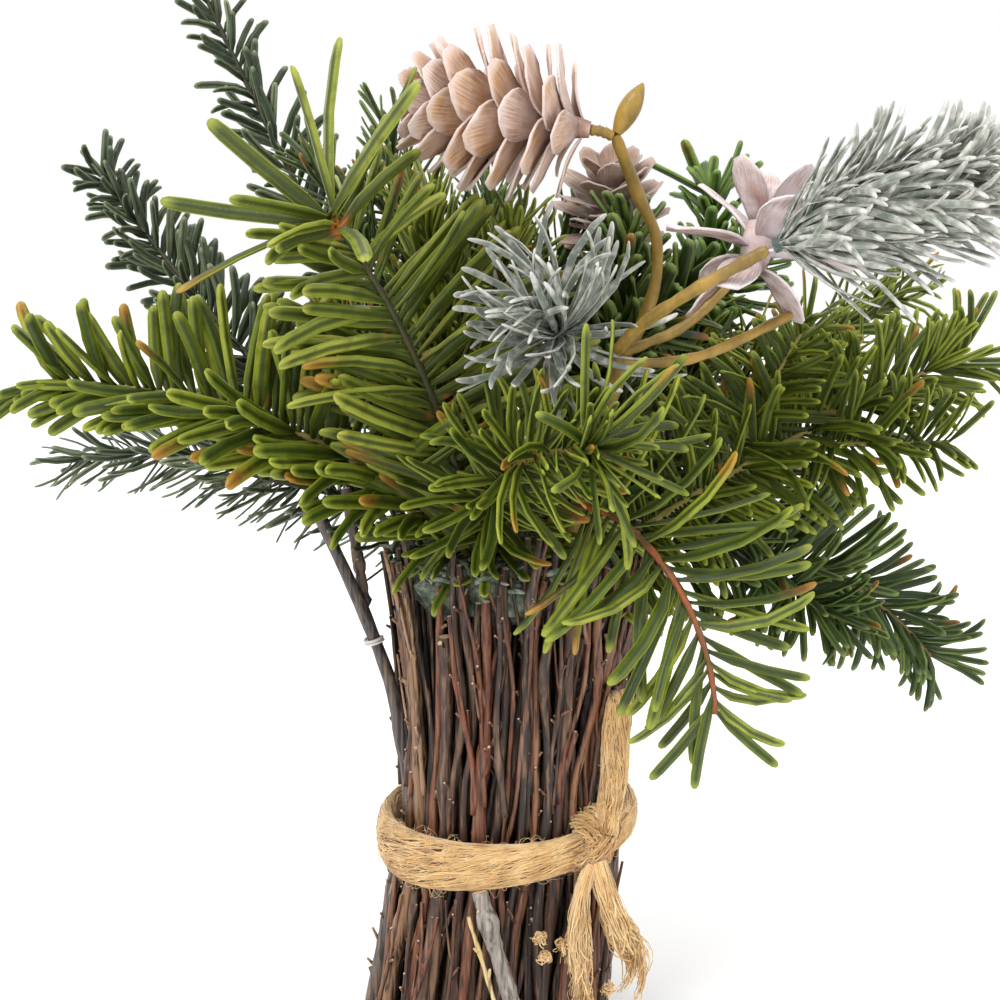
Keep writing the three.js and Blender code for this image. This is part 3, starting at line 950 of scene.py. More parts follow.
@dataclass
class TwigBundle:
    """All the cut twigs: the outer ones, those packed behind and between, and the leaning ones.

    Attributes:
        seed: The seed of their small differences.
        spacing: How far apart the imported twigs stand.
        rings: How many rings of packed twigs there may be.
        crossing: How many thin twigs slant across the others in front.
    """

    seed: int = 11
    spacing: float = 2.2
    rings: int = 13
    crossing: int = 54
    rng: random.Random = field(init=False)

    def __post_init__(self) -> None:
        """Starts the bundle's own row of random numbers."""
        self.rng = random.Random(self.seed)

    def build(self) -> None:
        """Makes every twig and its bark."""
        bark = BARK.build()
        self.outer(bark)
        self.packed(bark)
        self.leaning()

    def line(self, bearing: float, foot: float, top: float, inset: Callable[[float], float],
             lean: float, count: int, wander: float) -> Array:
        """The middle line of an upright twig.

        Args:
            bearing: Its bearing at the waist.
            foot: The height of its lower end.
            top: The height of its upper end.
            inset: How far inside the outline it is at each height.
            lean: How many degrees it moves round the bunch per millimetre of height.
            count: How many points the line has.
            wander: How far it wanders from side to side, in millimetres.

        Returns:
            The points.
        """
        phase, pitch = self.rng.uniform(0, 6), self.rng.uniform(22, 50)
        points = []
        for z in np.linspace(foot, top, count):
            small = 0.35 * wander
            swing = wander * math.sin(z / pitch * 3.1 + phase)
            swing += small * math.sin(z / 5.5 + 2 * phase)
            sway = small * math.sin(z / pitch * 2.3 + 3 * phase)
            at = bearing + lean * (z - WAIST_Z) + math.degrees(swing / bunch_radius(z))
            points.append(on_bunch(at, z, inset(z) + sway))
        return np.array(points)

    def outer(self, bark: bpy.types.Material) -> None:
        """The outer twigs that the frame holds one by one."""
        for i in range(RING_TWIGS):
            if i == FORKED_PLACE:
                continue
            radius = 1.6 + 0.25 * wave(i, 3)
            bearing = 360 / RING_TWIGS * i + 1.1 * wave(i, 1)
            top = 105 + 12 * wave(i, 2)
            line = self.line(bearing, 0, top, lambda z: radius + 0.3, 0.014 * wave(i, 4), 34, 0.6)
            shell = Shell()
            twig = Twig(line, radius * self.rng.uniform(0.58, 1.0), self.shade(), stubs=8, shoots=3)
            twig.carve(shell, self.rng)
            name = f"twig_{i + 1:02d}"
            dress(shell.make("bark_" + name), bark, "bark", name)

    def shade(self) -> float:
        """A bark shade: mostly dark brown and purple-brown, now and then red-brown or grey-tan."""
        return min(1.0, self.rng.triangular(0.08, 1.0, 0.3))

    def packed(self, bark: bpy.types.Material) -> None:
        """The twigs behind and between the outer ones, ring inside ring, and those across them."""
        shell = Shell()
        for ring in range(self.rings):
            depth = 1.7 + self.spacing * ring
            radius = FOOT_R - depth
            if radius < 1:
                break
            count = max(1, round(FULL_TURN * radius / self.spacing))
            for i in range(count):
                bearing = 360 / count * i + self.rng.uniform(-2.6, 2.6)
                crowded = ring == 0 and self.meets_outer(bearing)
                if not crowded and (ring > 1 or self.rng.random() < 0.72):
                    self.packed_twig(shell, bearing, depth, ring)
        for i in range(self.crossing):
            bearing = 360 / self.crossing * i + self.rng.uniform(-4, 4)
            self.crossing_twig(shell, bearing)
        dress(shell.make("bark_packed_twigs"), bark, "bark", "packed_twigs")

    @staticmethod
    def meets_outer(bearing: float) -> bool:
        """Whether a twig at this bearing would stand where one of the outer ones does."""
        pitch = 360 / RING_TWIGS
        off = (bearing + pitch / 2) % pitch - pitch / 2
        return abs(off) < 4.4

    def packed_twig(self, shell: Shell, bearing: float, depth: float, ring: int) -> None:
        """Adds one packed twig at its depth from the outline."""
        shallow = ring < 2
        share = depth / FOOT_R
        jitter = self.rng.uniform(-1.0, 1.6) if shallow else self.rng.uniform(-0.5, 0.5)
        top = self.rng.triangular(95, 121, 108) if shallow else self.rng.uniform(92, 107)
        radius = self.rng.triangular(0.55, 1.5, 0.75) if shallow else self.rng.uniform(0.9, 1.15)
        # Deeper rings get darker tones: painted shade in the gaps between the outer twigs.
        tone = self.shade() * (0.9, 0.35)[ring] if shallow else 0.15 * self.rng.random()
        lean = self.rng.uniform(-0.09, 0.09) if shallow else self.rng.uniform(-0.04, 0.04)
        line = self.line(bearing, 0, top, lambda z: share * bunch_radius(z) + jitter, lean,
                         30 if shallow else 6, 1.2 if shallow else 0.3)
        twig = Twig(line, radius, tone, self.rng.uniform(0.6, 0.9), (6, 5)[ring] if shallow else 4)
        twig.stubs, twig.shoots = (5, self.rng.choice((0, 1, 1, 2))) if shallow else (0, 0)
        twig.carve(shell, self.rng)

    def crossing_twig(self, shell: Shell, bearing: float) -> None:
        """Adds one thin twig that slants across the others, on one side of the cord or on both."""
        foot, top = self.rng.choice(((0.0, 36.0), (0.0, 112.0), (56.0, 112.0), (54.0, 100.0)))
        radius = self.rng.uniform(0.5, 0.85)
        lean = self.rng.choice((-1, 1)) * self.rng.uniform(0.08, 0.2)
        inset = self.rng.uniform(0.7, 1.5) if top - foot > 100 else self.rng.uniform(0.1, 0.9)
        top += self.rng.uniform(-6, 4)
        line = self.line(bearing, foot, top, lambda z: inset, lean, 26, 1.0)
        Twig(line, radius, self.shade(), 0.7, 5, 4, 1).carve(shell, self.rng)

    def leaning(self) -> None:
        """The forked twig that leans out at the left, and the two that cross the foot."""
        dark = DARK_BARK.build()
        groove = 360 / RING_TWIGS * FORKED_PLACE
        forked = [on_bunch(groove, z, FORKED_R + 0.3) for z in (0, 20, 36, 45.5, 55)]
        forked += [(-26, -5, 76), (-32.5, -6, 95), (-38, -6.6, 108), (-44, -7, 122)]
        self.single("forked_twig", forked, FORKED_R, dark, "dark_bark", 0.75)
        prong = ((-32.6, -5.4, 95), (-33.2, -3.2, 103), (-36.4, -2.4, 122))
        self.single("forked_twig_prong", prong, 1.35, dark, "dark_bark", 0.85)
        grey = ((5.6, -32.6, 0), (-0.4, -30.6, 17), (-5.4, -29, 34), (-6.6, -28.4, 38.5))
        self.single("grey_twig", grey, 1.75, GREY_BARK.build(), "grey_bark", 1.0)
        straw = ((0.6, -32.8, 0), (-3.8, -31, 16), (-9, -29, 33))
        self.single("straw_twig", straw, 0.5, STRAW.build(), "grey_bark", 0.9)

    def single(self, node: str, route: Route, radius: float, bark: bpy.types.Material, slot: str,
               taper: float) -> None:
        """Makes one leaning twig on its route."""
        shell = Shell()
        twig = Twig(smooth_route(route, 34), radius, self.rng.uniform(0.3, 0.7), taper, sides=9)
        twig.carve(shell, self.rng)
        dress(shell.make("bark_" + node), bark, slot, node)


def dress(piece: bpy.types.Object, material: bpy.types.Material, slot: str, *nodes: str) -> None:
    """Gives a piece its material, and has it stand for its frame nodes.

    Args:
        piece: The finished piece.
        material: Its material.
        slot: The material slot's name in the record; not used.
        nodes: The frame nodes that it stands for.
    """
    piece.data.materials.clear()
    piece.data.materials.append(material)
    settle(piece, slot, *nodes)


def settle(piece: bpy.types.Object, slot: str, *nodes: str) -> None:
    """Has a piece ride on the bunch and stand for its frame nodes."""
    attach(piece, "root")
    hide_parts(*nodes)


# ---------------------------------------------------------------- fir sprays


class Habit(Enum):
    """How needles stand round a stem."""

    FLAT = "two ranks, one to each side"
    BRUSH = "all round"
    RAISED = "to both sides and up"


@dataclass(frozen=True)
class NeedleShape:
    """The outline of one kind of needle, in shares of its length.

    Attributes:
        name: What the kind is called.
        width: Half its width.
        thick: Half its thickness.
        bends: Each variant's bend over its edge and over its face, in degrees.
    """

    name: str
    width: float
    thick: float
    bends: tuple[tuple[float, float], ...]

    def collection(self) -> bpy.types.Collection:
        """The variants, each one needle of length 1 along +X, in a collection of their own."""
        made = bpy.data.collections.new(self.name)
        for i, bend in enumerate(self.bends):
            made.objects.link(self.variant(f"{self.name}_{i}", *map(math.radians, bend)))
        return made

    def variant(self, name: str, edge: float, face: float) -> bpy.types.Object:
        """One needle, bent by these angles in radians."""
        stations = np.array([0.0, 0.06, 0.28, 0.6, 0.87, 0.955, 0.99])
        full = np.array([0.5, 0.45, 1.0, 1.0, 0.96, 0.8, 0.45])
        section = np.array([(-1, 0), (-0.55, 0.85), (0, 0.25), (0.55, 0.85), (1, 0), (0, -1)])
        points, along, across = [], [], []
        for t, w in [*zip(stations, full), (1.0, 0.0)]:
            shorter = [1 - (edge**2 + face**2) * t * t / 6, 1, 1]
            centre = np.array([t, edge * t * t / 2, face * t * t / 2]) * shorter
            x = unit(np.array([1.0, edge * t, face * t]))
            y = unit(np.cross([0, 0, 1.0], x))
            z = np.cross(x, y)
            for sy, sz in section if w else [(0, 0)]:
                deep = sz * min(1.0, w + 0.25) * self.thick
                points.append(centre + y * sy * w * self.width + z * deep)
                along.append(t)
                across.append(abs(sy))
        sides, rows = len(section), len(stations)
        faces = ring_faces(rows, sides)
        tip = rows * sides
        faces += [(tip - sides + j, tip - sides + (j + 1) % sides, tip) for j in range(sides)]
        faces.append(tuple(reversed(range(sides))))
        mesh = bpy.data.meshes.new(name)
        mesh.from_pydata(np.array(points), [], flipped(faces))
        write_value(mesh, "along", np.array(along))
        write_value(mesh, "across", np.array(across))
        mesh.shade_smooth()
        return bpy.data.objects.new(name, mesh)


RIBBON = NeedleShape("ribbon_needle", 0.042, 0.016,
                     ((6, 4), (28, 8), (48, -6), (-14, 14), (18, 26)))
LONG = NeedleShape("long_needle", 0.037, 0.013,
                   ((4, 6), (22, 10), (-12, 16), (10, -14), (36, 12)))
STRAIGHT = NeedleShape("straight_needle", 0.045, 0.016,
                       ((4, 6), (15, 10), (-10, 12), (8, -10), (24, 8)))
BROAD = NeedleShape("broad_needle", 0.055, 0.02,
                    ((4, 6), (16, 10), (-10, 12), (8, -8), (26, 14)))
FINE = NeedleShape("fine_needle", 0.055, 0.024,
                   ((0, 16), (22, 24), (-20, 18), (8, 30), (34, 24)))
SHORT = NeedleShape("short_needle", 0.092, 0.04, ((0, 8), (12, 14), (-10, 10), (4, -12)))
CURLY = NeedleShape("curly_needle", 0.035, 0.014,
                    ((30, 30), (62, 20), (-40, 36), (12, 60), (80, -20)))

OLIVE = NeedleFinish("Olive needles", deep=(0.02, 0.036, 0.003), green=(0.115, 0.162, 0.01),
                     pale=(0.36, 0.4, 0.04), spots=0.3)
YELLOW_GREEN = NeedleFinish("Sage-green needles", deep=(0.028, 0.044, 0.003),
                            green=(0.14, 0.185, 0.011), pale=(0.4, 0.43, 0.06), spots=0.9)
BLUE_GREEN = NeedleFinish("Blue-green needles", deep=(0.012, 0.022, 0.01),
                          green=(0.05, 0.074, 0.032), pale=(0.27, 0.32, 0.18), spots=-0.5)
DEEP_GREEN = NeedleFinish("Deep green needles", deep=(0.012, 0.026, 0.005),
                          green=(0.052, 0.09, 0.012), pale=(0.22, 0.3, 0.07), spots=0.35)
LEAF_GREEN = NeedleFinish("Leaf-green needles", deep=(0.018, 0.042, 0.005),
                          green=(0.075, 0.155, 0.015), pale=(0.24, 0.36, 0.07), spots=-0.2)

BROWN_STEM = StemFinish("Brown-green shoot", (0.13, 0.13, 0.025), (0.22, 0.11, 0.03))
RED_STEM = StemFinish("Red-brown shoot", (0.3, 0.07, 0.014), (0.09, 0.05, 0.012))
OCHRE_STEM = StemFinish("Ochre shoot", (0.36, 0.3, 0.075), (0.22, 0.2, 0.05))
DARK_STEM = StemFinish("Dark green shoot", (0.03, 0.042, 0.016), (0.06, 0.05, 0.018))


@dataclass(frozen=True)
class Spray:
    """One fir spray: its stem, and how its needles stand on it.

    Attributes:
        name: Its name in the frame, after fir_spray_.
        root: Where its stem starts in the moss, in x and y.
        start: The stem's first bearing and rise.
        end: Its last bearing and rise.
        length: The stem's length.
        needle: The longest needles' length.
        face: Where the spray's flat side looks.
        count: How many needles it has.
        shape: The needles' outline.
        finish: The needles' finish.
        stem: The stem's finish.
        habit: How the needles stand round it.
        spread: The angle between needle and stem, low on the stem and at its tip.
        bare: The share of the stem that carries no needles.
        under: The angles on the lower side, if they differ.
        burst: How many needles stand out round the tip.
        shoots: Where side shoots leave the stem, as a share of it.
    """

    name: str
    root: tuple[float, float]
    start: tuple[float, float]
    end: tuple[float, float]
    length: float
    needle: float
    face: Point
    count: int
    shape: NeedleShape
    finish: NeedleFinish
    stem: StemFinish = BROWN_STEM
    habit: Habit = Habit.FLAT
    spread: tuple[float, float] = (66, 34)
    bare: float = 0.1
    under: tuple[float, float] | None = None
    burst: int = 0
    shoots: tuple[float, ...] = ()

    def line(self, count: int = 40) -> Array:
        """The stem's middle line, which turns evenly from its first heading to its last."""
        at = np.array([*self.root, ROOT_Z])
        points = [at]
        for i in range(count):
            t = (i + 0.5) / count
            bearing = self.start[0] + (self.end[0] - self.start[0]) * t
            rise = self.start[1] + (self.end[1] - self.start[1]) * t
            at = at + heading(bearing, rise) * self.length / count
            points.append(at)
        return np.array(points)

    def build(self, shapes: bpy.types.Collection, seed: int) -> None:
        """Makes the spray's stem and needles.

        Args:
            shapes: The needle variants.
            seed: Its own random seed.
        """
        rng = random.Random(seed)
        path = self.line()
        stem = Strands()
        t = np.linspace(0, 1, len(path))
        stem.add(path, (1.05 - 0.5 * t) * (1 + 0.14 * np.sin(t * 90)), 0.5)
        scatter = Scatter(shapes)
        self.place_needles(scatter, path, rng, self.count, self.bare, self.needle)
        self.add_burst(scatter, path, rng)
        for i, share in enumerate(self.shoots):
            side = self.side_shoot(path, share, 1 if i % 2 else -1, rng)
            stem.add(side, np.linspace(0.75, 0.4, len(side)), 0.5)
            few, shorter = round(2.1 * self.needle), 0.8 * self.needle
            self.place_needles(scatter, side, rng, few, 0.12, shorter)
        stalk = stem.make("shoot_" + self.name, 8, self.stem.build())
        needles = scatter.make("needles_" + self.name, self.finish.build())
        settle(joined("fir_" + self.name, [needles, stalk]), "fir", "fir_spray_" + self.name)

    def side_shoot(self, path: Array, share: float, side: int, rng: random.Random) -> Array:
        """The line of a side shoot that leaves the stem at this share of it."""
        along, across, out = frames(path, np.array(self.face))
        k = round(share * (len(path) - 1))
        angle = math.radians(rng.uniform(34, 46))
        aim = around(along[k], side * across[k], angle) + 0.25 * out[k]
        t = np.linspace(0, 1, 12)[:, None]
        return path[k] + (aim * t + 0.2 * along[k] * t * t) * self.needle * rng.uniform(1.0, 1.3)

    def place_needles(self, scatter: Scatter, path: Array, rng: random.Random, count: int,
                      bare: float, longest: float) -> None:
        """Sets needles on a stem, longest in the middle and closing up at the tip.

        Args:
            scatter: Where they are added.
            path: The stem's middle line.
            rng: The source of their small differences.
            count: How many there are.
            bare: The share of the stem that carries none.
            longest: The longest one's length.
        """
        along, across, out = frames(path, np.array(self.face))
        last = len(path) - 1
        for i in range(count):
            reach = ((i + rng.uniform(0.1, 0.9)) / count) ** 0.92
            at = (bare + (1 - bare) * reach) * last
            k = min(last - 1, int(at))
            place = path[k] + (path[k + 1] - path[k]) * (at - k)
            roll = self.roll(i, rng)
            aside = around(across[k], out[k], roll)
            wide, narrow = self.under if self.under and math.cos(roll) < 0 else self.spread
            angle = math.radians(wide + (narrow - wide) * reach + rng.uniform(-11, 11))
            aim = around(along[k], aside, angle)
            flat = along[k] * math.sin(angle) - aside * math.cos(angle)
            normal = out[k] if self.habit is not Habit.BRUSH else flat
            if math.cos(roll) > 0 and self.habit is not Habit.BRUSH:
                normal = -normal
            swell = math.sin(math.pi * min(1.0, 0.18 + reach * 0.92))
            size = longest * (0.62 + 0.38 * swell) * rng.uniform(0.82, 1.06)
            self.add_needle(scatter, place, aim, normal, size, reach, rng)

    def add_burst(self, scatter: Scatter, path: Array, rng: random.Random) -> None:
        """Sets a rosette of needles round the stem's tip."""
        along, across, out = (row[-1] for row in frames(path, np.array(self.face)))
        for i in range(self.burst):
            aside = around(across, out, i * LEAF_TURN)
            angle = math.radians(12 + 62 * math.sqrt((i + 0.5) / self.burst))
            place = path[-1] - along * rng.uniform(0, 4)
            size = self.needle * rng.uniform(0.85, 1.05)
            self.add_needle(scatter, place, around(along, aside, angle), aside, size, 0.9, rng)

    def add_needle(self, scatter: Scatter, place: Array, aim: Array, normal: Array, size: float,
                   reach: float, rng: random.Random) -> None:
        """Adds one needle, with its small differences in turn, girth, shade and bend."""
        normal = unit(normal) + 0.35 * unit(any_way(rng))
        girth = 0.5 * (size + self.needle) * rng.uniform(0.88, 1.12)
        tone = rng.triangular(0, 1, 0.36 + 0.25 * reach)
        pick = rng.randrange(len(self.shape.bends))
        scatter.add(place, tilt(aim, normal), (size, girth, girth), pick, tone)

    def roll(self, i: int, rng: random.Random) -> float:
        """Which way round the stem needle i stands, in radians from its first side."""
        side = math.pi * (i % 2)
        if self.habit is Habit.FLAT:
            return side + rng.gauss(0, 0.22)
        if self.habit is Habit.RAISED:
            return side + (1 if i % 2 == 0 else -1) * rng.triangular(-0.2, 1.5, 0.35)
        return i * LEAF_TURN + rng.uniform(-0.3, 0.3)


SPRAYS = (
    Spray("rear_left_tall", (-4, 9), (139, 57), (187, 66), 151, 18, (0, -1, 0.2), 108,
          FINE, BLUE_GREEN, DARK_STEM, Habit.RAISED, (60, 34), 0.2),
    Spray("front_left_tall", (-6, -13), (-123, 77), (-124, 39), 99, 36, (0.2, -1, 0.4), 88,
          STRAIGHT, YELLOW_GREEN, DARK_STEM, Habit.FLAT, (80, 70), under=(46, 40), burst=9),
    Spray("left_long", (-4, -7), (-142, 54), (-176, 1), 110, 29, (0.1, -1, 0.5), 128,
          BROAD, OLIVE, OCHRE_STEM, Habit.RAISED, (88, 54), under=(46, 22)),
    Spray("left_rear", (-9, 6), (163, 39), (166, 52), 127, 18, (0, -1, 0.6), 170,
          FINE, BLUE_GREEN, DARK_STEM, Habit.RAISED, (80, 40), 0.2),
    Spray("left_low", (-9, 0), (161, 40), (166, -12), 104, 20, (0, -0.6, 1), 160,
          RIBBON, BLUE_GREEN, DARK_STEM, Habit.BRUSH, (78, 40), shoots=(0.35, 0.5)),
    Spray("front_centre", (1, -6), (-121, 56), (-37, 7), 78, 25, (0, -0.4, 1), 140,
          RIBBON, OLIVE, BROWN_STEM, Habit.BRUSH, (80, 46), burst=20),
    Spray("right_hanging", (5, -10), (-82, 71), (-36, -88), 100, 31, (0.3, -1, 0.1), 54,
          RIBBON, OLIVE, RED_STEM, Habit.FLAT, (78, 32), 0.3),
    Spray("right_long", (10, -4), (-16, 38), (4, 24), 102, 25, (0, -1, 0.5), 190,
          LONG, OLIVE, OCHRE_STEM, Habit.RAISED, (76, 40), shoots=(0.45, 0.6)),
    Spray("right_low", (11, 1.5), (15, 26), (2, -52), 98, 24, (-0.1, -1, 0.6), 160,
          RIBBON, DEEP_GREEN, BROWN_STEM, Habit.RAISED, (72, 36), shoots=(0.3, 0.45)),
    Spray("right_rear_tall", (19, 9), (14, 46), (83, 86), 96, 18, (0, -1, 0.1), 92,
          SHORT, LEAF_GREEN, DARK_STEM, Habit.BRUSH, (70, 40), 0.2, burst=8, shoots=(0.55, 0.7)),
    Spray("middle_rear", (1, 6), (102, 69), (97, 72), 90, 25, (0, -1, 0), 150,
          LONG, DEEP_GREEN, DARK_STEM, Habit.BRUSH, (62, 26), shoots=(0.4, 0.55, 0.7)),
    Spray("rear_left_short", (-13, 12), (160, 80), (110, 76), 103, 24, (0.3, -1, 0), 150,
          LONG, DEEP_GREEN, DARK_STEM, Habit.BRUSH, (62, 28), shoots=(0.35, 0.5, 0.65)),
    Spray("middle_tall", (-3, -1.5), (-165, 76), (-133, 80), 84, 28, (-0.3, -1, 0.2), 150,
          LONG, YELLOW_GREEN, BROWN_STEM, Habit.BRUSH, (62, 26), shoots=(0.4, 0.55)),
    Spray("right_middle", (15, -10), (30, 75), (70, 82), 80, 20, (0, -1, 0), 130,
          SHORT, DEEP_GREEN, DARK_STEM, Habit.BRUSH, (70, 36), shoots=(0.5, 0.65)),
    Spray("right_tall", (7, 5.5), (12, 50), (4, 25), 104, 24, (0, -0.7, 0.8), 180,
          CURLY, OLIVE, BROWN_STEM, Habit.BRUSH, (72, 40), shoots=(0.4, 0.55)),
    Spray("rear_low", (2, 17), (90, 48), (92, -30), 88, 24, (0, 0.6, 1), 130,
          RIBBON, OLIVE, OCHRE_STEM, Habit.RAISED, shoots=(0.4, 0.5)),
    Spray("rear_right", (11, 15), (62, 48), (48, 8), 88, 24, (0, 0.5, 1), 130,
          RIBBON, OLIVE, BROWN_STEM, Habit.RAISED, shoots=(0.4, 0.5)),
    Spray("rear_left", (-7, 17), (122, 46), (130, 4), 88, 24, (0, 0.5, 1), 130,
          RIBBON, DEEP_GREEN, BROWN_STEM, Habit.RAISED, shoots=(0.4, 0.5)),
)


def build_sprays() -> None:
    """Makes every fir spray, with one collection of variants for each needle shape."""
    shapes = {}
    for i, spray in enumerate(SPRAYS):
        if spray.shape.name not in shapes:
            shapes[spray.shape.name] = spray.shape.collection()
        spray.build(shapes[spray.shape.name], 100 + i)
    for made in shapes.values():
        clear_shapes(made)


def clear_shapes(shapes: bpy.types.Collection) -> None:
    """Removes the shapes that copies were made from."""
    for shape in list(shapes.objects):
        bpy.data.objects.remove(shape)
    bpy.data.collections.remove(shapes)


# ---------------------------------------------------------------- cones

SCALE_KINDS = 4


@dataclass(frozen=True)
class Cone:
    """A cone: open scales in a spiral round a core.

    Attributes:
        node: Its name in the frame.
        base: Where its stem joins it.
        tip: Its other end.
        widest: Its radius at its widest.
        count: How many scales it has.
        scale: The biggest scale's length.
        opening: The angle between a scale and the axis, at the base and at the tip.
        finish: Its finish.
        plump: How wide its scales are, 1 being rounded.
        closing: How fast they close towards the tip, 1 being evenly.
    """

    node: str
    base: Point
    tip: Point
    widest: float
    count: int
    scale: float
    opening: tuple[float, float]
    finish: ScaleFinish
    plump: float = 0.94
    closing: float = 1.0

    def build(self, shapes: bpy.types.Collection, seed: int) -> None:
        """Makes the cone from the scale variants."""
        rng = random.Random(seed)
        base, axis, across, out, length = straight(self.base, self.tip)
        scatter = Scatter(shapes)
        wide, narrow = self.opening
        for i in range(self.count):
            t = (i + 0.5) / self.count
            aside = around(across, out, i * LEAF_TURN)
            spread = narrow + (wide - narrow) * (1 - t) ** self.closing
            angle = math.radians(spread + rng.uniform(-7, 7))
            swell = math.sin(math.pi * (0.22 + 0.66 * t)) ** 0.6
            size = min(self.scale * swell * rng.uniform(0.94, 1.05), self.reach(swell, angle))
            place = base + axis * (length * (0.03 + 0.78 * t)) + aside * 1.6
            inward = axis * math.sin(angle) - aside * math.cos(angle)
            turned = tilt(around(axis, aside, angle), inward)
            pick = rng.randrange(SCALE_KINDS)
            scatter.add(place, turned, (size, size * self.plump, size), pick, rng.random())
        scales = scatter.make("scales_" + self.node, self.finish.build())
        core = Strands()
        t = np.linspace(0, 1, 12)
        line = base + axis * length * (0.9 * t)[:, None]
        core.add(line, 3.4 * np.sin(math.pi * (0.1 + 0.82 * t)) ** 0.6, 0.5)
        middle = core.make("core_" + self.node, 10, self.finish.build())
        settle(joined("cone_" + self.node, [scales, middle]), "cone", self.node)

    def reach(self, swell: float, angle: float) -> float:
        """The longest a scale may be at this swell and angle and stay inside the cone's outline."""
        return (self.widest * swell + 1.5) / max(0.35, math.sin(angle))


def scale_shapes() -> bpy.types.Collection:
    """Cone scales of length 1 along +X: broad, dished petals with a rounded, slightly torn rim."""
    made = bpy.data.collections.new("cone_scale")
    rows, columns = 6, 7
    for variant in range(SCALE_KINDS):
        rng = random.Random(40 + variant)
        top, below, along, across = [], [], [], []
        for i in range(rows):
            t = i / (rows - 1)
            for j in range(columns):
                s = 2 * j / (columns - 1) - 1
                turn = 0.5 * math.pi * s
                wobble = 0.016 * rng.uniform(-1, 1) * t
                x = t * (0.6 + 0.4 * math.cos(turn) ** 1.3) + wobble
                y = (0.09 + 0.3 * t**0.7 - 0.05 * t**6) * math.sin(turn)
                z = 0.13 * s * s * t - 0.2 * t * t + 0.012 * math.cos(s * 9) * t
                top.append((x, y, z + 0.012))
                below.append((x, y, z - 0.022))
                along.append(t)
                across.append(abs(s))
        points = np.array(top + below)
        n = rows * columns
        faces = []
        for i in range(rows - 1):
            for j in range(columns - 1):
                a = i * columns + j
                faces.append((a, a + columns, a + columns + 1, a + 1))
                faces.append((n + a, n + a + 1, n + a + columns + 1, n + a + columns))
        rim = [*range(columns), *(columns * (i + 1) - 1 for i in range(1, rows)),
               *(n - 2 - j for j in range(columns - 1)),
               *(columns * i for i in range(rows - 2, 0, -1))]
        for a, b in zip(rim, rim[1:] + rim[:1]):
            faces.append((a, b, n + b, n + a))
        mesh = bpy.data.meshes.new(f"cone_scale_{variant}")
        mesh.from_pydata(points, [], flipped(faces))
        write_value(mesh, "along", np.array(along * 2))
        write_value(mesh, "across", np.array(across * 2))
        mesh.shade_smooth()
        made.objects.link(bpy.data.objects.new(mesh.name, mesh))
    return made


LILAC_TAN = ScaleFinish("Lilac-washed scales", wood=(0.68, 0.42, 0.23), deep=(0.26, 0.12, 0.075),
                        wash=(0.83, 0.71, 0.69), washed=0.62)
BROWN_SCALE = ScaleFinish("Brown scales", wood=(0.4, 0.26, 0.18), deep=(0.13, 0.07, 0.05),
                          wash=(0.6, 0.49, 0.45), washed=0.55)
PALE_LILAC = ScaleFinish("Pale lilac scales", wood=(0.62, 0.42, 0.35), deep=(0.2, 0.1, 0.095),
                         wash=(0.9, 0.83, 0.86), washed=0.74)

CONES = (
    Cone("front_cone", (15.5, -38, 199), (-22, -35, 205), 19, 58, 17, (64, 22), LILAC_TAN),
    Cone("rear_cone", (24, 19, 172), (22, 13, 194), 11, 34, 13, (70, 24), BROWN_SCALE),
    Cone("lilac_cone", (47.2, -42, 171), (51, -39, 186), 17, 15, 18, (130, 14), PALE_LILAC,
         plump=0.74, closing=1.4),
)


def build_cones() -> None:
    """Makes the three cones."""
    shapes = scale_shapes()
    for i, cone in enumerate(CONES):
        cone.build(shapes, 300 + i)
    clear_shapes(shapes)


# ---------------------------------------------------------------- frosted plumes


PLUME_NEEDLE = NeedleShape("plume_needle", 0.024, 0.013,
                           ((20, 26), (44, 38), (-38, 34), (14, 60)))


@dataclass(frozen=True)
class Plume:
    """A head of frosted needles.

    Attributes:
        node: Its name in the frame.
        base: Where its stem joins it.
        tip: The end of its middle line.
        count: How many needles it has.
        needle: The longest needle's length.
        opening: The angle between needle and middle line, at the base and at the tip.
        frosted: How much of it is white, from 0 to 1.
        stray: How far the needles stray from their angle, in degrees.
        girth: How thick the needles are, 1 being usual.
    """

    node: str
    base: Point
    tip: Point
    count: int
    needle: float
    opening: tuple[float, float]
    frosted: float
    stray: float
    girth: float = 1.0

    def build(self, shapes: bpy.types.Collection, seed: int) -> None:
        """Makes the plume from the needle variants."""
        rng = random.Random(seed)
        base, axis, across, out, length = straight(self.base, self.tip)
        wide, narrow = self.opening
        run = length - 0.8 * self.needle * math.cos(math.radians(narrow))
        scatter = Scatter(shapes)
        for i in range(self.count):
            t = (i + 0.5) / self.count
            aside = around(across, out, i * LEAF_TURN)
            angle = math.radians(wide + (narrow - wide) * t + rng.gauss(0, self.stray))
            place = base + axis * (1 + max(2.0, run) * t) + aside * 0.8
            size = self.needle * rng.uniform(0.78, 1.0) * (0.8 + 0.2 * math.sin(math.pi * t))
            turned = tilt(around(axis, aside, angle), 0.5 * axis - aside + 0.5 * unit(any_way(rng)))
            pick = rng.randrange(len(PLUME_NEEDLE.bends))
            scatter.add(place, turned, (size, size * self.girth, size), pick, rng.random())
        frost = FrostFinish(name="Frost on " + self.node, frosted=self.frosted).build()
        heads = scatter.make("needles_" + self.node, frost)
        core = Strands()
        line = base + axis * np.linspace(0, max(4.0, run), 8)[:, None]
        core.add(line, 1.4, 0.5)
        middle = core.make("core_" + self.node, 8, frost)
        settle(joined("plume_" + self.node, [heads, middle]), "frosted", self.node)


PLUMES = (
    Plume("frosted_star", (10, -36, 158), (4, -58, 169), 96, 27, (102, 16), 0.5, 14, 1.3),
    Plume("frosted_plume", (49, -59.5, 177), (93, -70, 193), 430, 25, (56, 14), 0.66, 7, 1.45),
)


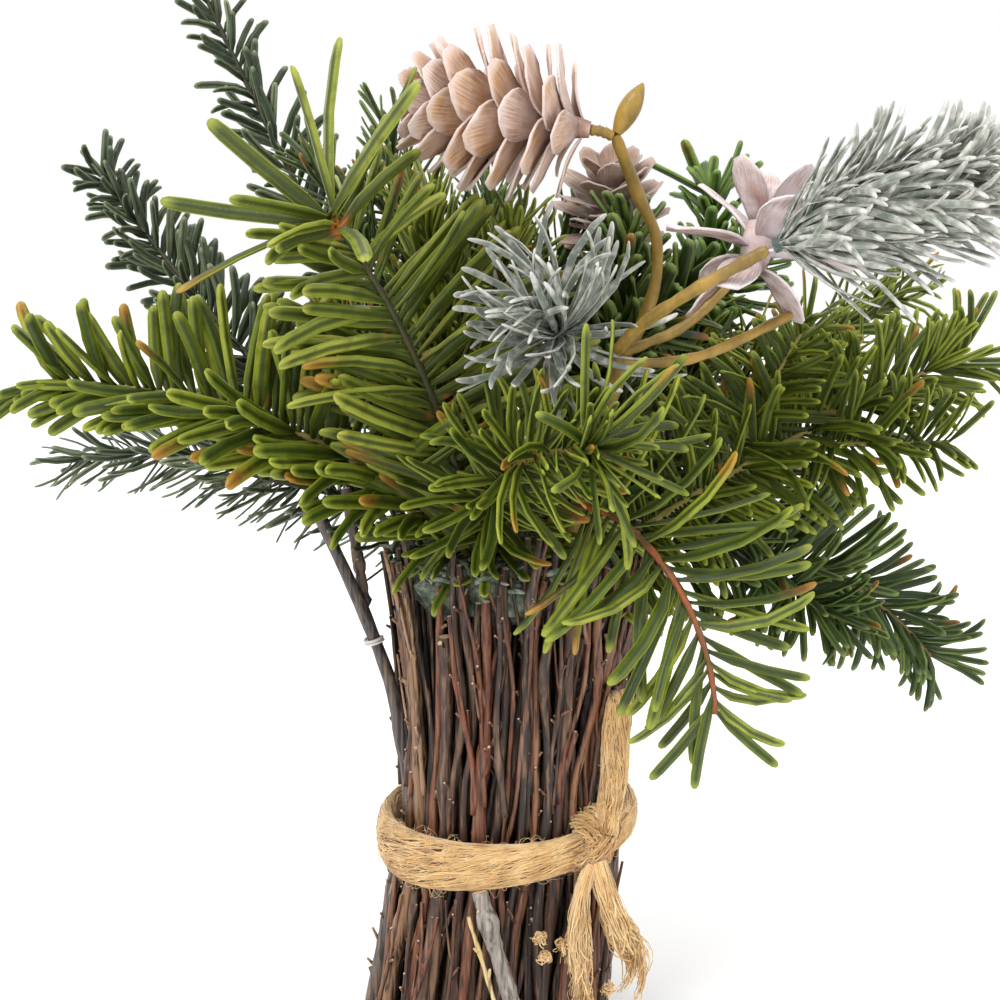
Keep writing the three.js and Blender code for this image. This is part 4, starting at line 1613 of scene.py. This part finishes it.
def build_plumes() -> None:
    """Makes the two frosted plumes."""
    shapes = PLUME_NEEDLE.collection()
    for i, plume in enumerate(PLUMES):
        plume.build(shapes, 400 + i)
    clear_shapes(shapes)


# ---------------------------------------------------------------- ochre stems


OCHRE = StemFinish("Ochre stem", (0.37, 0.225, 0.035), (0.2, 0.125, 0.022), 0.42)


@dataclass(frozen=True)
class OchreStem:
    """One moulded ochre stem on its route, with its radius."""

    node: str
    route: Route
    radius: float

    def build(self, material: bpy.types.Material) -> None:
        """Makes the stem, a little uneven, with rounded ends."""
        count = 9 * len(self.route)
        t = np.linspace(0, 1, count)
        radii = self.radius * (0.86 + 0.07 * np.sin(t * 23) + 0.05 * np.sin(t * 51 + 1))
        radii[[0, -1]] *= 0.7
        strand = Strands()
        strand.add(smooth_route(self.route, count), radii, 0.5)
        settle(strand.make("stem_" + self.node, 12, material), "ochre", self.node)


OCHRE_STEMS = (
    OchreStem("front_cone_stem", (
        (4.5, -0.5, ROOT_Z), (14, -3, 130), (28, -16, 160), (30.4, -20.5, 175.5),
        (25.4, -28.8, 187), (20.4, -36.8, 198.2)), 1.45),
    OchreStem("front_cone_stalk", ((20, -37, 197.8), (17.8, -37.6, 198.7), (15.4, -38, 199)), 1.25),
    OchreStem("rear_cone_stem", ((12.5, 9.5, ROOT_Z), (20, 17, 135), (24, 19.5, 171)), 1.5),
    OchreStem("star_stem", ((-0.5, -13.5, ROOT_Z), (2, -22.5, 132), (10.3, -34.5, 157.6)), 1.5),
    OchreStem("pick_stalk", (
        (9.5, -13, ROOT_Z), (16, -24, 128), (20.4, -40, 149), (21, -43.6, 155.5)), 2.1),
    OchreStem("plume_stem", (
        (20.8, -44, 155.8), (25, -47.5, 161), (34, -54, 168), (48, -59, 176.4)), 1.45),
    OchreStem("lilac_cone_stem", (
        (21.6, -43.4, 155.6), (26.5, -43.4, 157.4), (35, -43.4, 161.6), (46.9, -41.5, 173)), 1.2),
    OchreStem("low_stem", ((21, -43.4, 153.3), (37, -43, 154.8), (56, -37, 162.6)), 1.25),
)


def build_stems() -> None:
    """Makes the ochre stems and the bud."""
    material = OCHRE.build()
    for stem in OCHRE_STEMS:
        stem.build(material)
    bud = Strands()
    t = np.linspace(0, 1, 14)
    line = np.array([20.8, -37, 198.4]) + np.array([5.1, 0.2, 9.6]) * t[:, None]
    bud.add(line, 2.2 * np.sin(math.pi * (0.14 + 0.84 * t) ** 1.1) ** 0.8, 0.5)
    settle(bud.make("stem_bud", 12, material), "ochre", "bud")


# ---------------------------------------------------------------- jute cord


@dataclass(frozen=True)
class CordPart:
    """A stretch of cord: its middle line, its across and out directions, and its half sizes."""

    path: Array
    across: Array
    out: Array
    wide: Array
    tall: Array

    def part(self, keep: Array) -> "CordPart":
        """The stretch at the points that keep marks."""
        return CordPart(self.path[keep], self.across[keep], self.out[keep], self.wide[keep],
                        self.tall[keep])

    def off(self, across: Array, out: Array) -> Array:
        """The middle line moved this far across and out at each point."""
        return self.path + self.across * across[:, None] + self.out * out[:, None]


@dataclass
class JuteTie:
    """The jute cord: a wrap round the waist, its knot, a loop that stands up and two frayed tails.

    Attributes:
        seed: The seed of the fibres' small differences.
        locks: How many thick locks fill the cord's inside.
        wrap_fibres: How many fine fibres the wrap shows.
        tail_locks: How many locks each tail has.
        lock_fibres: How many fibres each of those has.
        curl_fibres: How many fibres a curled lump has.
    """

    seed: int = 21
    locks: int = 44
    wrap_fibres: int = 2000
    tail_locks: int = 13
    lock_fibres: int = 46
    curl_fibres: int = 70
    rng: random.Random = field(init=False)

    def __post_init__(self) -> None:
        """Starts the cord's own row of random numbers."""
        self.rng = random.Random(self.seed)

    def build(self) -> None:
        """Makes every piece of the cord."""
        jute = JuteFinish().build()
        self.wrap(jute)
        self.knot(jute)
        self.loop(jute)
        front = ((17.5, -25.5, 43.5), (15.4, -27.8, 37), (14.6, -28.4, 26), (15.8, -28.8, 14),
                 (16.2, -29.6, 3))
        curls = ((11.6, -29, 26.6), (6.4, -30, 28.6), (7.4, -30.4, 24.4))
        self.tail("frayed_tail_front", front, 1.0, 2.8, curls, jute)
        side = ((19, -24.5, 44), (20.5, -25, 38), (23.6, -23.6, 28), (27.4, -22, 20),
                (26.2, -22.6, 14), (24, -23, 9))
        self.tail("frayed_tail_side", side, 1.6, 3.2, ((21.5, -25, 15),), jute)

    def rope(self, strands: Strands, path: Array, face: Array | None, wide: float,
             tall: float | Array, twist: float, loose: int) -> None:
        """Lays thick locks, fine fibres and stray ones of jute along a path.

        Args:
            strands: Where they are added.
            path: The cord's middle line.
            face: The direction of the section's height, or None to turn least.
            wide: The cord's half width.
            tall: Its half height, one for all its points or one for each.
            twist: How many turns the fibres make along it.
            loose: How many fine fibres it has.
        """
        _, across, out = frames(path, face)
        t = np.linspace(0, 1, len(path))
        w, h = np.full(len(t), wide), np.broadcast_to(tall, len(t))
        core = CordPart(path, across, out, w, h)
        girth = 0.17 * (w * h).mean() ** 0.5
        for i in range(self.locks):
            share = math.sqrt((i + 0.5) / self.locks) * 0.92
            lay = i * LEAF_TURN + twist * FULL_TURN * t
            self.fibre(strands, core, share, lay, girth, 0.5)
        for _ in range(loose):
            start = self.rng.uniform(-0.1, 0.93)
            reach = self.rng.uniform(0.08, 0.24)
            keep = (t >= start) & (t <= start + reach)
            if keep.sum() < 4:
                continue
            turn = self.rng.uniform(0, FULL_TURN)
            lay = turn + (twist + self.rng.gauss(0, 0.4)) * FULL_TURN * t[keep]
            share = self.rng.uniform(0.95, 1.05)
            radius = 0.15 * self.rng.random() ** 1.6 + 0.06
            tone = self.rng.triangular(0.15, 1, 0.6)
            self.fibre(strands, core.part(keep), share, lay, radius, tone)
        for _ in range(loose // 6):
            self.stray(strands, core)

    def fibre(self, strands: Strands, core: CordPart, share: float, turn: Array, radius: float,
              tone: float) -> None:
        """Adds one fibre at a share of the section's reach and a turn round it."""
        count = len(core.path)
        pace, phase = self.rng.uniform(5, 12), self.rng.uniform(0, 6)
        turn = turn + 0.14 * np.sin(np.linspace(0, pace, count) + phase)
        line = core.off(core.wide * share * np.cos(turn), core.tall * share * np.sin(turn))
        thick = radius * (1 + 0.2 * np.sin(np.linspace(0, 9, count) + share * 40))
        strands.add(line, thick, tone)

    def stray(self, strands: Strands, core: CordPart) -> None:
        """Adds one hair that lifts off the cord and curls away."""
        count = len(core.path)
        k = self.rng.randrange(0, count - 3)
        turn = self.rng.uniform(0, FULL_TURN)
        s = np.linspace(0, 1, 7)
        at = k + s * self.rng.uniform(0.5, 2.0)
        line = np.array([np.interp(at, np.arange(count), core.path[:, c]) for c in range(3)]).T
        lift = 1 + self.rng.uniform(0.1, 0.5) * np.sin(s * self.rng.uniform(1.5, 4.5))
        veer = turn + self.rng.uniform(-0.9, 0.9) * np.sin(s * self.rng.uniform(1, 5))
        line = line + core.across[k] * (core.wide[k] * lift * np.cos(veer))[:, None]
        line = line + core.out[k] * (core.tall[k] * lift * np.sin(veer))[:, None]
        strands.add(line, 0.055 - 0.02 * s, self.rng.uniform(0.5, 1))

    def wrap(self, jute: bpy.types.Material) -> None:
        """The turn round the waist, broad at the front left and round near the knot."""
        opening = 14
        first = KNOT_BEARING + opening / 2
        route = [
            on_bunch(b, CORD_Z + CORD_TILT * math.cos(math.radians(b - 32)), -CORD_FLAT)
            for b in np.linspace(first, first + 360 - opening, 72)
        ]
        spread = np.sin(math.pi * np.clip((np.linspace(0, 1, len(route)) - 0.45) / 0.5, 0, 1))
        strands = Strands()
        self.rope(strands, np.array(route), np.array([0.0, 0.0, 1.0]), CORD_FLAT,
                  CORD_R * (1 + 0.5 * spread), 1.3, self.wrap_fibres)
        settle(strands.make("jute_wrap", 3, jute), "jute", "cord_wrap")

    def knot(self, jute: bpy.types.Material) -> None:
        """The knot: two turns of cord that cross over the wrap."""
        centre = np.array(on_bunch(KNOT_BEARING, CORD_Z + 1.5, -CORD_R - 0.4))
        outward = heading(KNOT_BEARING, 0)
        level = heading(KNOT_BEARING + 90, 0)
        strands = Strands()
        for lean, back, half in ((58, 0.4, 5.2), (-30, 1.6, 4.8), (20, 2.0, 5.6)):
            turn = np.radians(np.linspace(-112, 112, 34))
            slant = math.radians(lean)
            up = unit(heading(0, 90) * math.cos(slant) + level * math.sin(slant))
            bulge = outward * (np.cos(turn) * 2.6 - 1.2 - back)[:, None]
            path = centre + bulge + up * (np.sin(turn) * half)[:, None]
            self.rope(strands, path, None, 2.4, 2.6, 0.2, 330)
        settle(strands.make("jute_knot", 3, jute), "jute", "cord_knot")

    def loop(self, jute: bpy.types.Material) -> None:
        """The loop: the cord runs up beside the twigs, folds over and comes back down."""
        route = [on_bunch(b, z, inset) for b, z, inset in (
            (-44, 49, -3.2), (-41, 60, -2.6), (-42, 72, -2.2), (-42.5, 80, -3.2), (-42.5, 72, -4.6),
            (-42, 60, -4.8), (-46, 49.5, -5))]
        strands = Strands()
        self.rope(strands, smooth_route(route, 56), None, 2.0, 2.6, 0.4, 640)
        settle(strands.make("jute_loop", 3, jute), "jute", "cord_loop")

    def tail(self, node: str, route: Route, start: float, end: float, curls: Route,
             jute: bpy.types.Material) -> None:
        """A frayed tail: locks of fibre that part, wave and curl towards their ends.

        Args:
            node: Its name in the frame.
            route: The points that its middle passes through.
            start: How far its locks spread at the knot.
            end: How far they spread at their ends.
            curls: Where small curled lumps hang beside it.
            jute: The material.
        """
        path = smooth_route(route, 24)
        _, across, out = frames(path, np.array([0.7, -1.0, 0.0]))
        strands = Strands()
        t = np.linspace(0, 1, len(path))
        for i in range(self.tail_locks):
            turn, share = i * LEAF_TURN, math.sqrt((i + 0.5) / self.tail_locks)
            reach = share * (start + (end - start) * t**1.2)
            sway = self.rng.uniform(0.8, 2.2) * t
            phase, pace = self.rng.uniform(0, 6), self.rng.uniform(5, 13)
            aside = reach * math.cos(turn) + sway * np.sin(pace * t + phase)
            away = 0.6 * reach * math.sin(turn) + 0.6 * sway * np.cos(pace * t + 2 * phase)
            girth = self.rng.uniform(0.5, 0.95) * (0.6 + 0.9 * np.sin(math.pi * (0.1 + 0.8 * t)))
            middle = CordPart(path, across, out, girth, girth).off(aside, away)
            core = CordPart(middle, across, out, girth, girth)
            self.lock(strands, core, self.rng.uniform(0.5, 1.0))
        for place in curls:
            self.curl(strands, np.array(place))
        settle(strands.make("jute_" + node, 3, jute), "jute", node)

    def lock(self, strands: Strands, core: CordPart, share: float) -> None:
        """Adds the fibres of one lock, which is this share of the tail's length."""
        t = np.linspace(0, 1, len(core.path))
        shade = self.rng.uniform(0.4, 0.95)
        for _ in range(self.lock_fibres):
            turn, reach = self.rng.uniform(0, FULL_TURN), math.sqrt(self.rng.random())
            curl = self.rng.choice((0.3, 0.5, 0.8, 1.8)) * self.rng.uniform(0.6, 1.2) * t**0.8
            phase, pace = self.rng.uniform(0, 6), self.rng.uniform(8, 30)
            aside = reach * core.wide * math.cos(turn) + curl * np.sin(pace * t + phase)
            away = reach * core.tall * math.sin(turn) + curl * np.cos(pace * t + 2 * phase)
            line = core.off(aside, away)
            line[:, 2] = np.maximum(line[:, 2], 0.6)
            keep = max(8, round(len(t) * share * self.rng.uniform(0.6, 1.0)))
            radius = 0.21 * self.rng.random() ** 2 + 0.085
            tone = min(1.0, max(0.0, shade + self.rng.uniform(-0.3, 0.3)))
            strands.add(line[:keep], radius * (1.1 - 0.5 * t[:keep]), tone)

    def curl(self, strands: Strands, place: Array) -> None:
        """Adds a small tangled lump of fibre at a place."""
        for _ in range(self.curl_fibres):
            turn = np.linspace(0, self.rng.uniform(2, 5), 8) + self.rng.uniform(0, 6)
            size = self.rng.uniform(0.3, 1.3)
            u, v = (unit(np.array([self.rng.gauss(0, 1) for _ in range(3)])) for _ in range(2))
            loop = u * np.cos(turn)[:, None] * size + v * np.sin(turn)[:, None] * size * 0.8
            line = place + loop + np.array([self.rng.gauss(0, 0.45) for _ in range(3)])
            strands.add(line, self.rng.uniform(0.07, 0.2), self.rng.uniform(0.3, 1))


# ---------------------------------------------------------------- moss and wire


@dataclass
class MossPad:
    """Dry moss in the mouth: a lumpy pad with loose sprigs and crumbs on it.

    Attributes:
        seed: The seed of its small differences.
        radius: The pad's radius.
        middle: How far its middle is to the right.
        low: The height of its underside.
        top: The height of its upper edge.
        sides: How many points go once round it.
        sprigs: How many sprigs lie on it.
    """

    seed: int = 31
    radius: float = 27.5
    middle: float = 2.1
    low: float = 95.6
    top: float = 107.0
    sides: int = 40
    sprigs: int = 620

    def build(self) -> None:
        """Makes the pad and its sprigs."""
        rng = random.Random(self.seed)
        material = MossFinish().build()
        pad = self.pad(rng)
        pad.data.materials.append(material)
        loose = self.loose(rng).make("moss_sprigs", 5, material)
        settle(joined("moss_pad", [pad, loose]), "moss", "moss_plug")

    def spot(self, turn: float, reach: float, z: float) -> Point:
        """The point this far from the pad's middle, at this turn and height."""
        return (self.middle + reach * math.cos(turn), reach * math.sin(turn), z)

    def pad(self, rng: random.Random) -> bpy.types.Object:
        """Makes the lumpy pad, with no material yet."""
        low, top, sides = self.low, self.top, self.sides
        profile = ((0.82, low), (0.95, low + 3), (0.98, top - 4), (0.88, top), (0.7, top + 1.2),
                   (0.45, top + 1.6), (0.2, top + 1.8))
        points = []
        for share, z in profile:
            for j in range(sides):
                turn = FULL_TURN * j / sides
                lump = 1 + 0.05 * math.sin(5 * turn + z) + rng.uniform(-0.03, 0.03)
                lift = rng.uniform(-0.5, 0.5) * (z > low)
                points.append(self.spot(turn, self.radius * share * lump, z + lift))
        points += [self.spot(0, 0, low), self.spot(0, 0, top + 1.9)]
        rows = len(profile)
        faces = ring_faces(rows, sides)
        bottom, peak = rows * sides, rows * sides + 1
        for j in range(sides):
            k = (j + 1) % sides
            faces.append((bottom, k, j))
            faces.append((peak, (rows - 1) * sides + j, (rows - 1) * sides + k))
        shell = Shell()
        shell.add(np.array(points, float), faces)
        return shell.make("moss_pad_body")

    def loose(self, rng: random.Random) -> Strands:
        """The sprigs and crumbs that lie on the pad."""
        strands = Strands()
        s = np.linspace(0, 1, 5)[:, None]
        for _ in range(self.sprigs):
            turn, reach = rng.uniform(0, FULL_TURN), self.radius * math.sqrt(rng.random()) * 1.12
            start = np.array(self.spot(turn, reach, self.top + rng.uniform(-2.5, 3)))
            aim = unit(np.array([rng.uniform(-1, 1), rng.uniform(-1, 1), rng.uniform(-0.1, 0.9)]))
            bend = np.array([rng.uniform(-1, 1), rng.uniform(-1, 1), rng.uniform(-1, 0.4)])
            line = start + aim * s * rng.uniform(1.5, 4.5) + bend * s * s * 1.5
            girth = np.array([0.5, 0.55, 0.5, 0.4, 0.2]) * rng.uniform(0.6, 1.3)
            strands.add(line, girth, rng.random())
        return strands


def build_wire() -> None:
    """Makes the pale wire: two turns round the forked twig and a short end."""
    strands = Strands()
    turn = np.linspace(0, 4.2 * math.pi, 60)[:, None]
    centre, axis, across, out, _ = straight((-29.9, -5.6, 87.6), (-36.4, -6.6, 106.6))
    ring = (FORKED_R + 0.25) * (across * np.cos(turn) + out * np.sin(turn))
    strands.add(centre + axis * 0.35 * turn / math.pi + ring, 0.32, 0.5)
    finish = StemFinish("Pale wire", (0.72, 0.7, 0.66), (0.6, 0.58, 0.56), 0.35)
    settle(strands.make("wire_turns", 6, finish.build()), "wire", "wire_tie")


# ---------------------------------------------------------------- studio


@dataclass(frozen=True)
class Studio:
    """A pale floor, soft lights and a camera that looks slightly down at the bunch's front."""

    camera_place: Point = (-0.0022, -0.430, 0.190)
    camera_aim: Point = (-0.0022, 0.0, 0.119)
    middle: Point = (0, 0, 0.12)
    lens: float = 70.6
    floor_size: float = 6.0

    def build(self) -> None:
        """Makes the floor, the lights, the world and the camera."""
        self.floor()
        self.light("key", (-0.9, -1.1, 1.7), 0.9, 26)
        self.light("fill", (1.5, -0.9, 0.9), 1.4, 8)
        self.light("back", (0.3, 1.4, 1.3), 1.4, 12)
        world = bpy.data.worlds.new("Studio")
        world.use_nodes = True
        world.node_tree.nodes["Background"].inputs["Color"].default_value = (1, 1, 1, 1)
        world.node_tree.nodes["Background"].inputs["Strength"].default_value = 1.0
        bpy.context.scene.world = world
        self.camera()

    def floor(self) -> None:
        """The pale floor, which isn't part of the object."""
        half = self.floor_size / 2
        corners = [(-half, -half, 0), (half, -half, 0), (half, half, 0), (-half, half, 0)]
        mesh = bpy.data.meshes.new("floor")
        mesh.from_pydata(corners, [], [(0, 1, 2, 3)])
        plane = linked("floor", mesh)
        paint = Paint("Pale floor")
        soft = paint.noise(900, 1)
        shade = paint.mix(soft, (0.95, 0.95, 0.95), (0.97, 0.97, 0.97))
        plane.data.materials.append(paint.finish(shade, 0.8, soft, 0.01))

    @staticmethod
    def aimed(data: bpy.types.ID, place: Point, aim: Point) -> bpy.types.Object:
        """A camera or light that stands at a place and looks at a point."""
        made = linked(data.name, data)
        made.location = place
        made.rotation_euler = (Vector(aim) - Vector(place)).to_track_quat("-Z", "Y").to_euler()
        return made

    def light(self, name: str, place: Point, size: float, watts: float) -> None:
        """A square area light that looks at the middle of the bunch."""
        data = bpy.data.lights.new(name, "AREA")
        data.size, data.energy = size, watts
        self.aimed(data, place, self.middle)

    def camera(self) -> None:
        """The camera, at the height of the sprays."""
        data = bpy.data.cameras.new("camera")
        data.lens, data.sensor_width = self.lens, 36
        data.clip_start = 0.01
        bpy.context.scene.camera = self.aimed(data, self.camera_place, self.camera_aim)
        bpy.context.scene.view_settings.view_transform = "Standard"


def main() -> None:
    """Builds the studio and every piece of the bunch, in order."""
    logging.basicConfig(level=logging.INFO, format="%(message)s")
    steps = {
        "studio": Studio().build,
        "jute tie": JuteTie().build,
        "twigs": TwigBundle().build,
        "moss": MossPad().build,
        "wire": build_wire,
        "fir sprays": build_sprays,
        "cones": build_cones,
        "plumes": build_plumes,
        "ochre stems": build_stems,
    }
    for name, build in steps.items():
        build()
        LOG.info("built %s", name)


if __name__ == "__main__":
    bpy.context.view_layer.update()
    main()
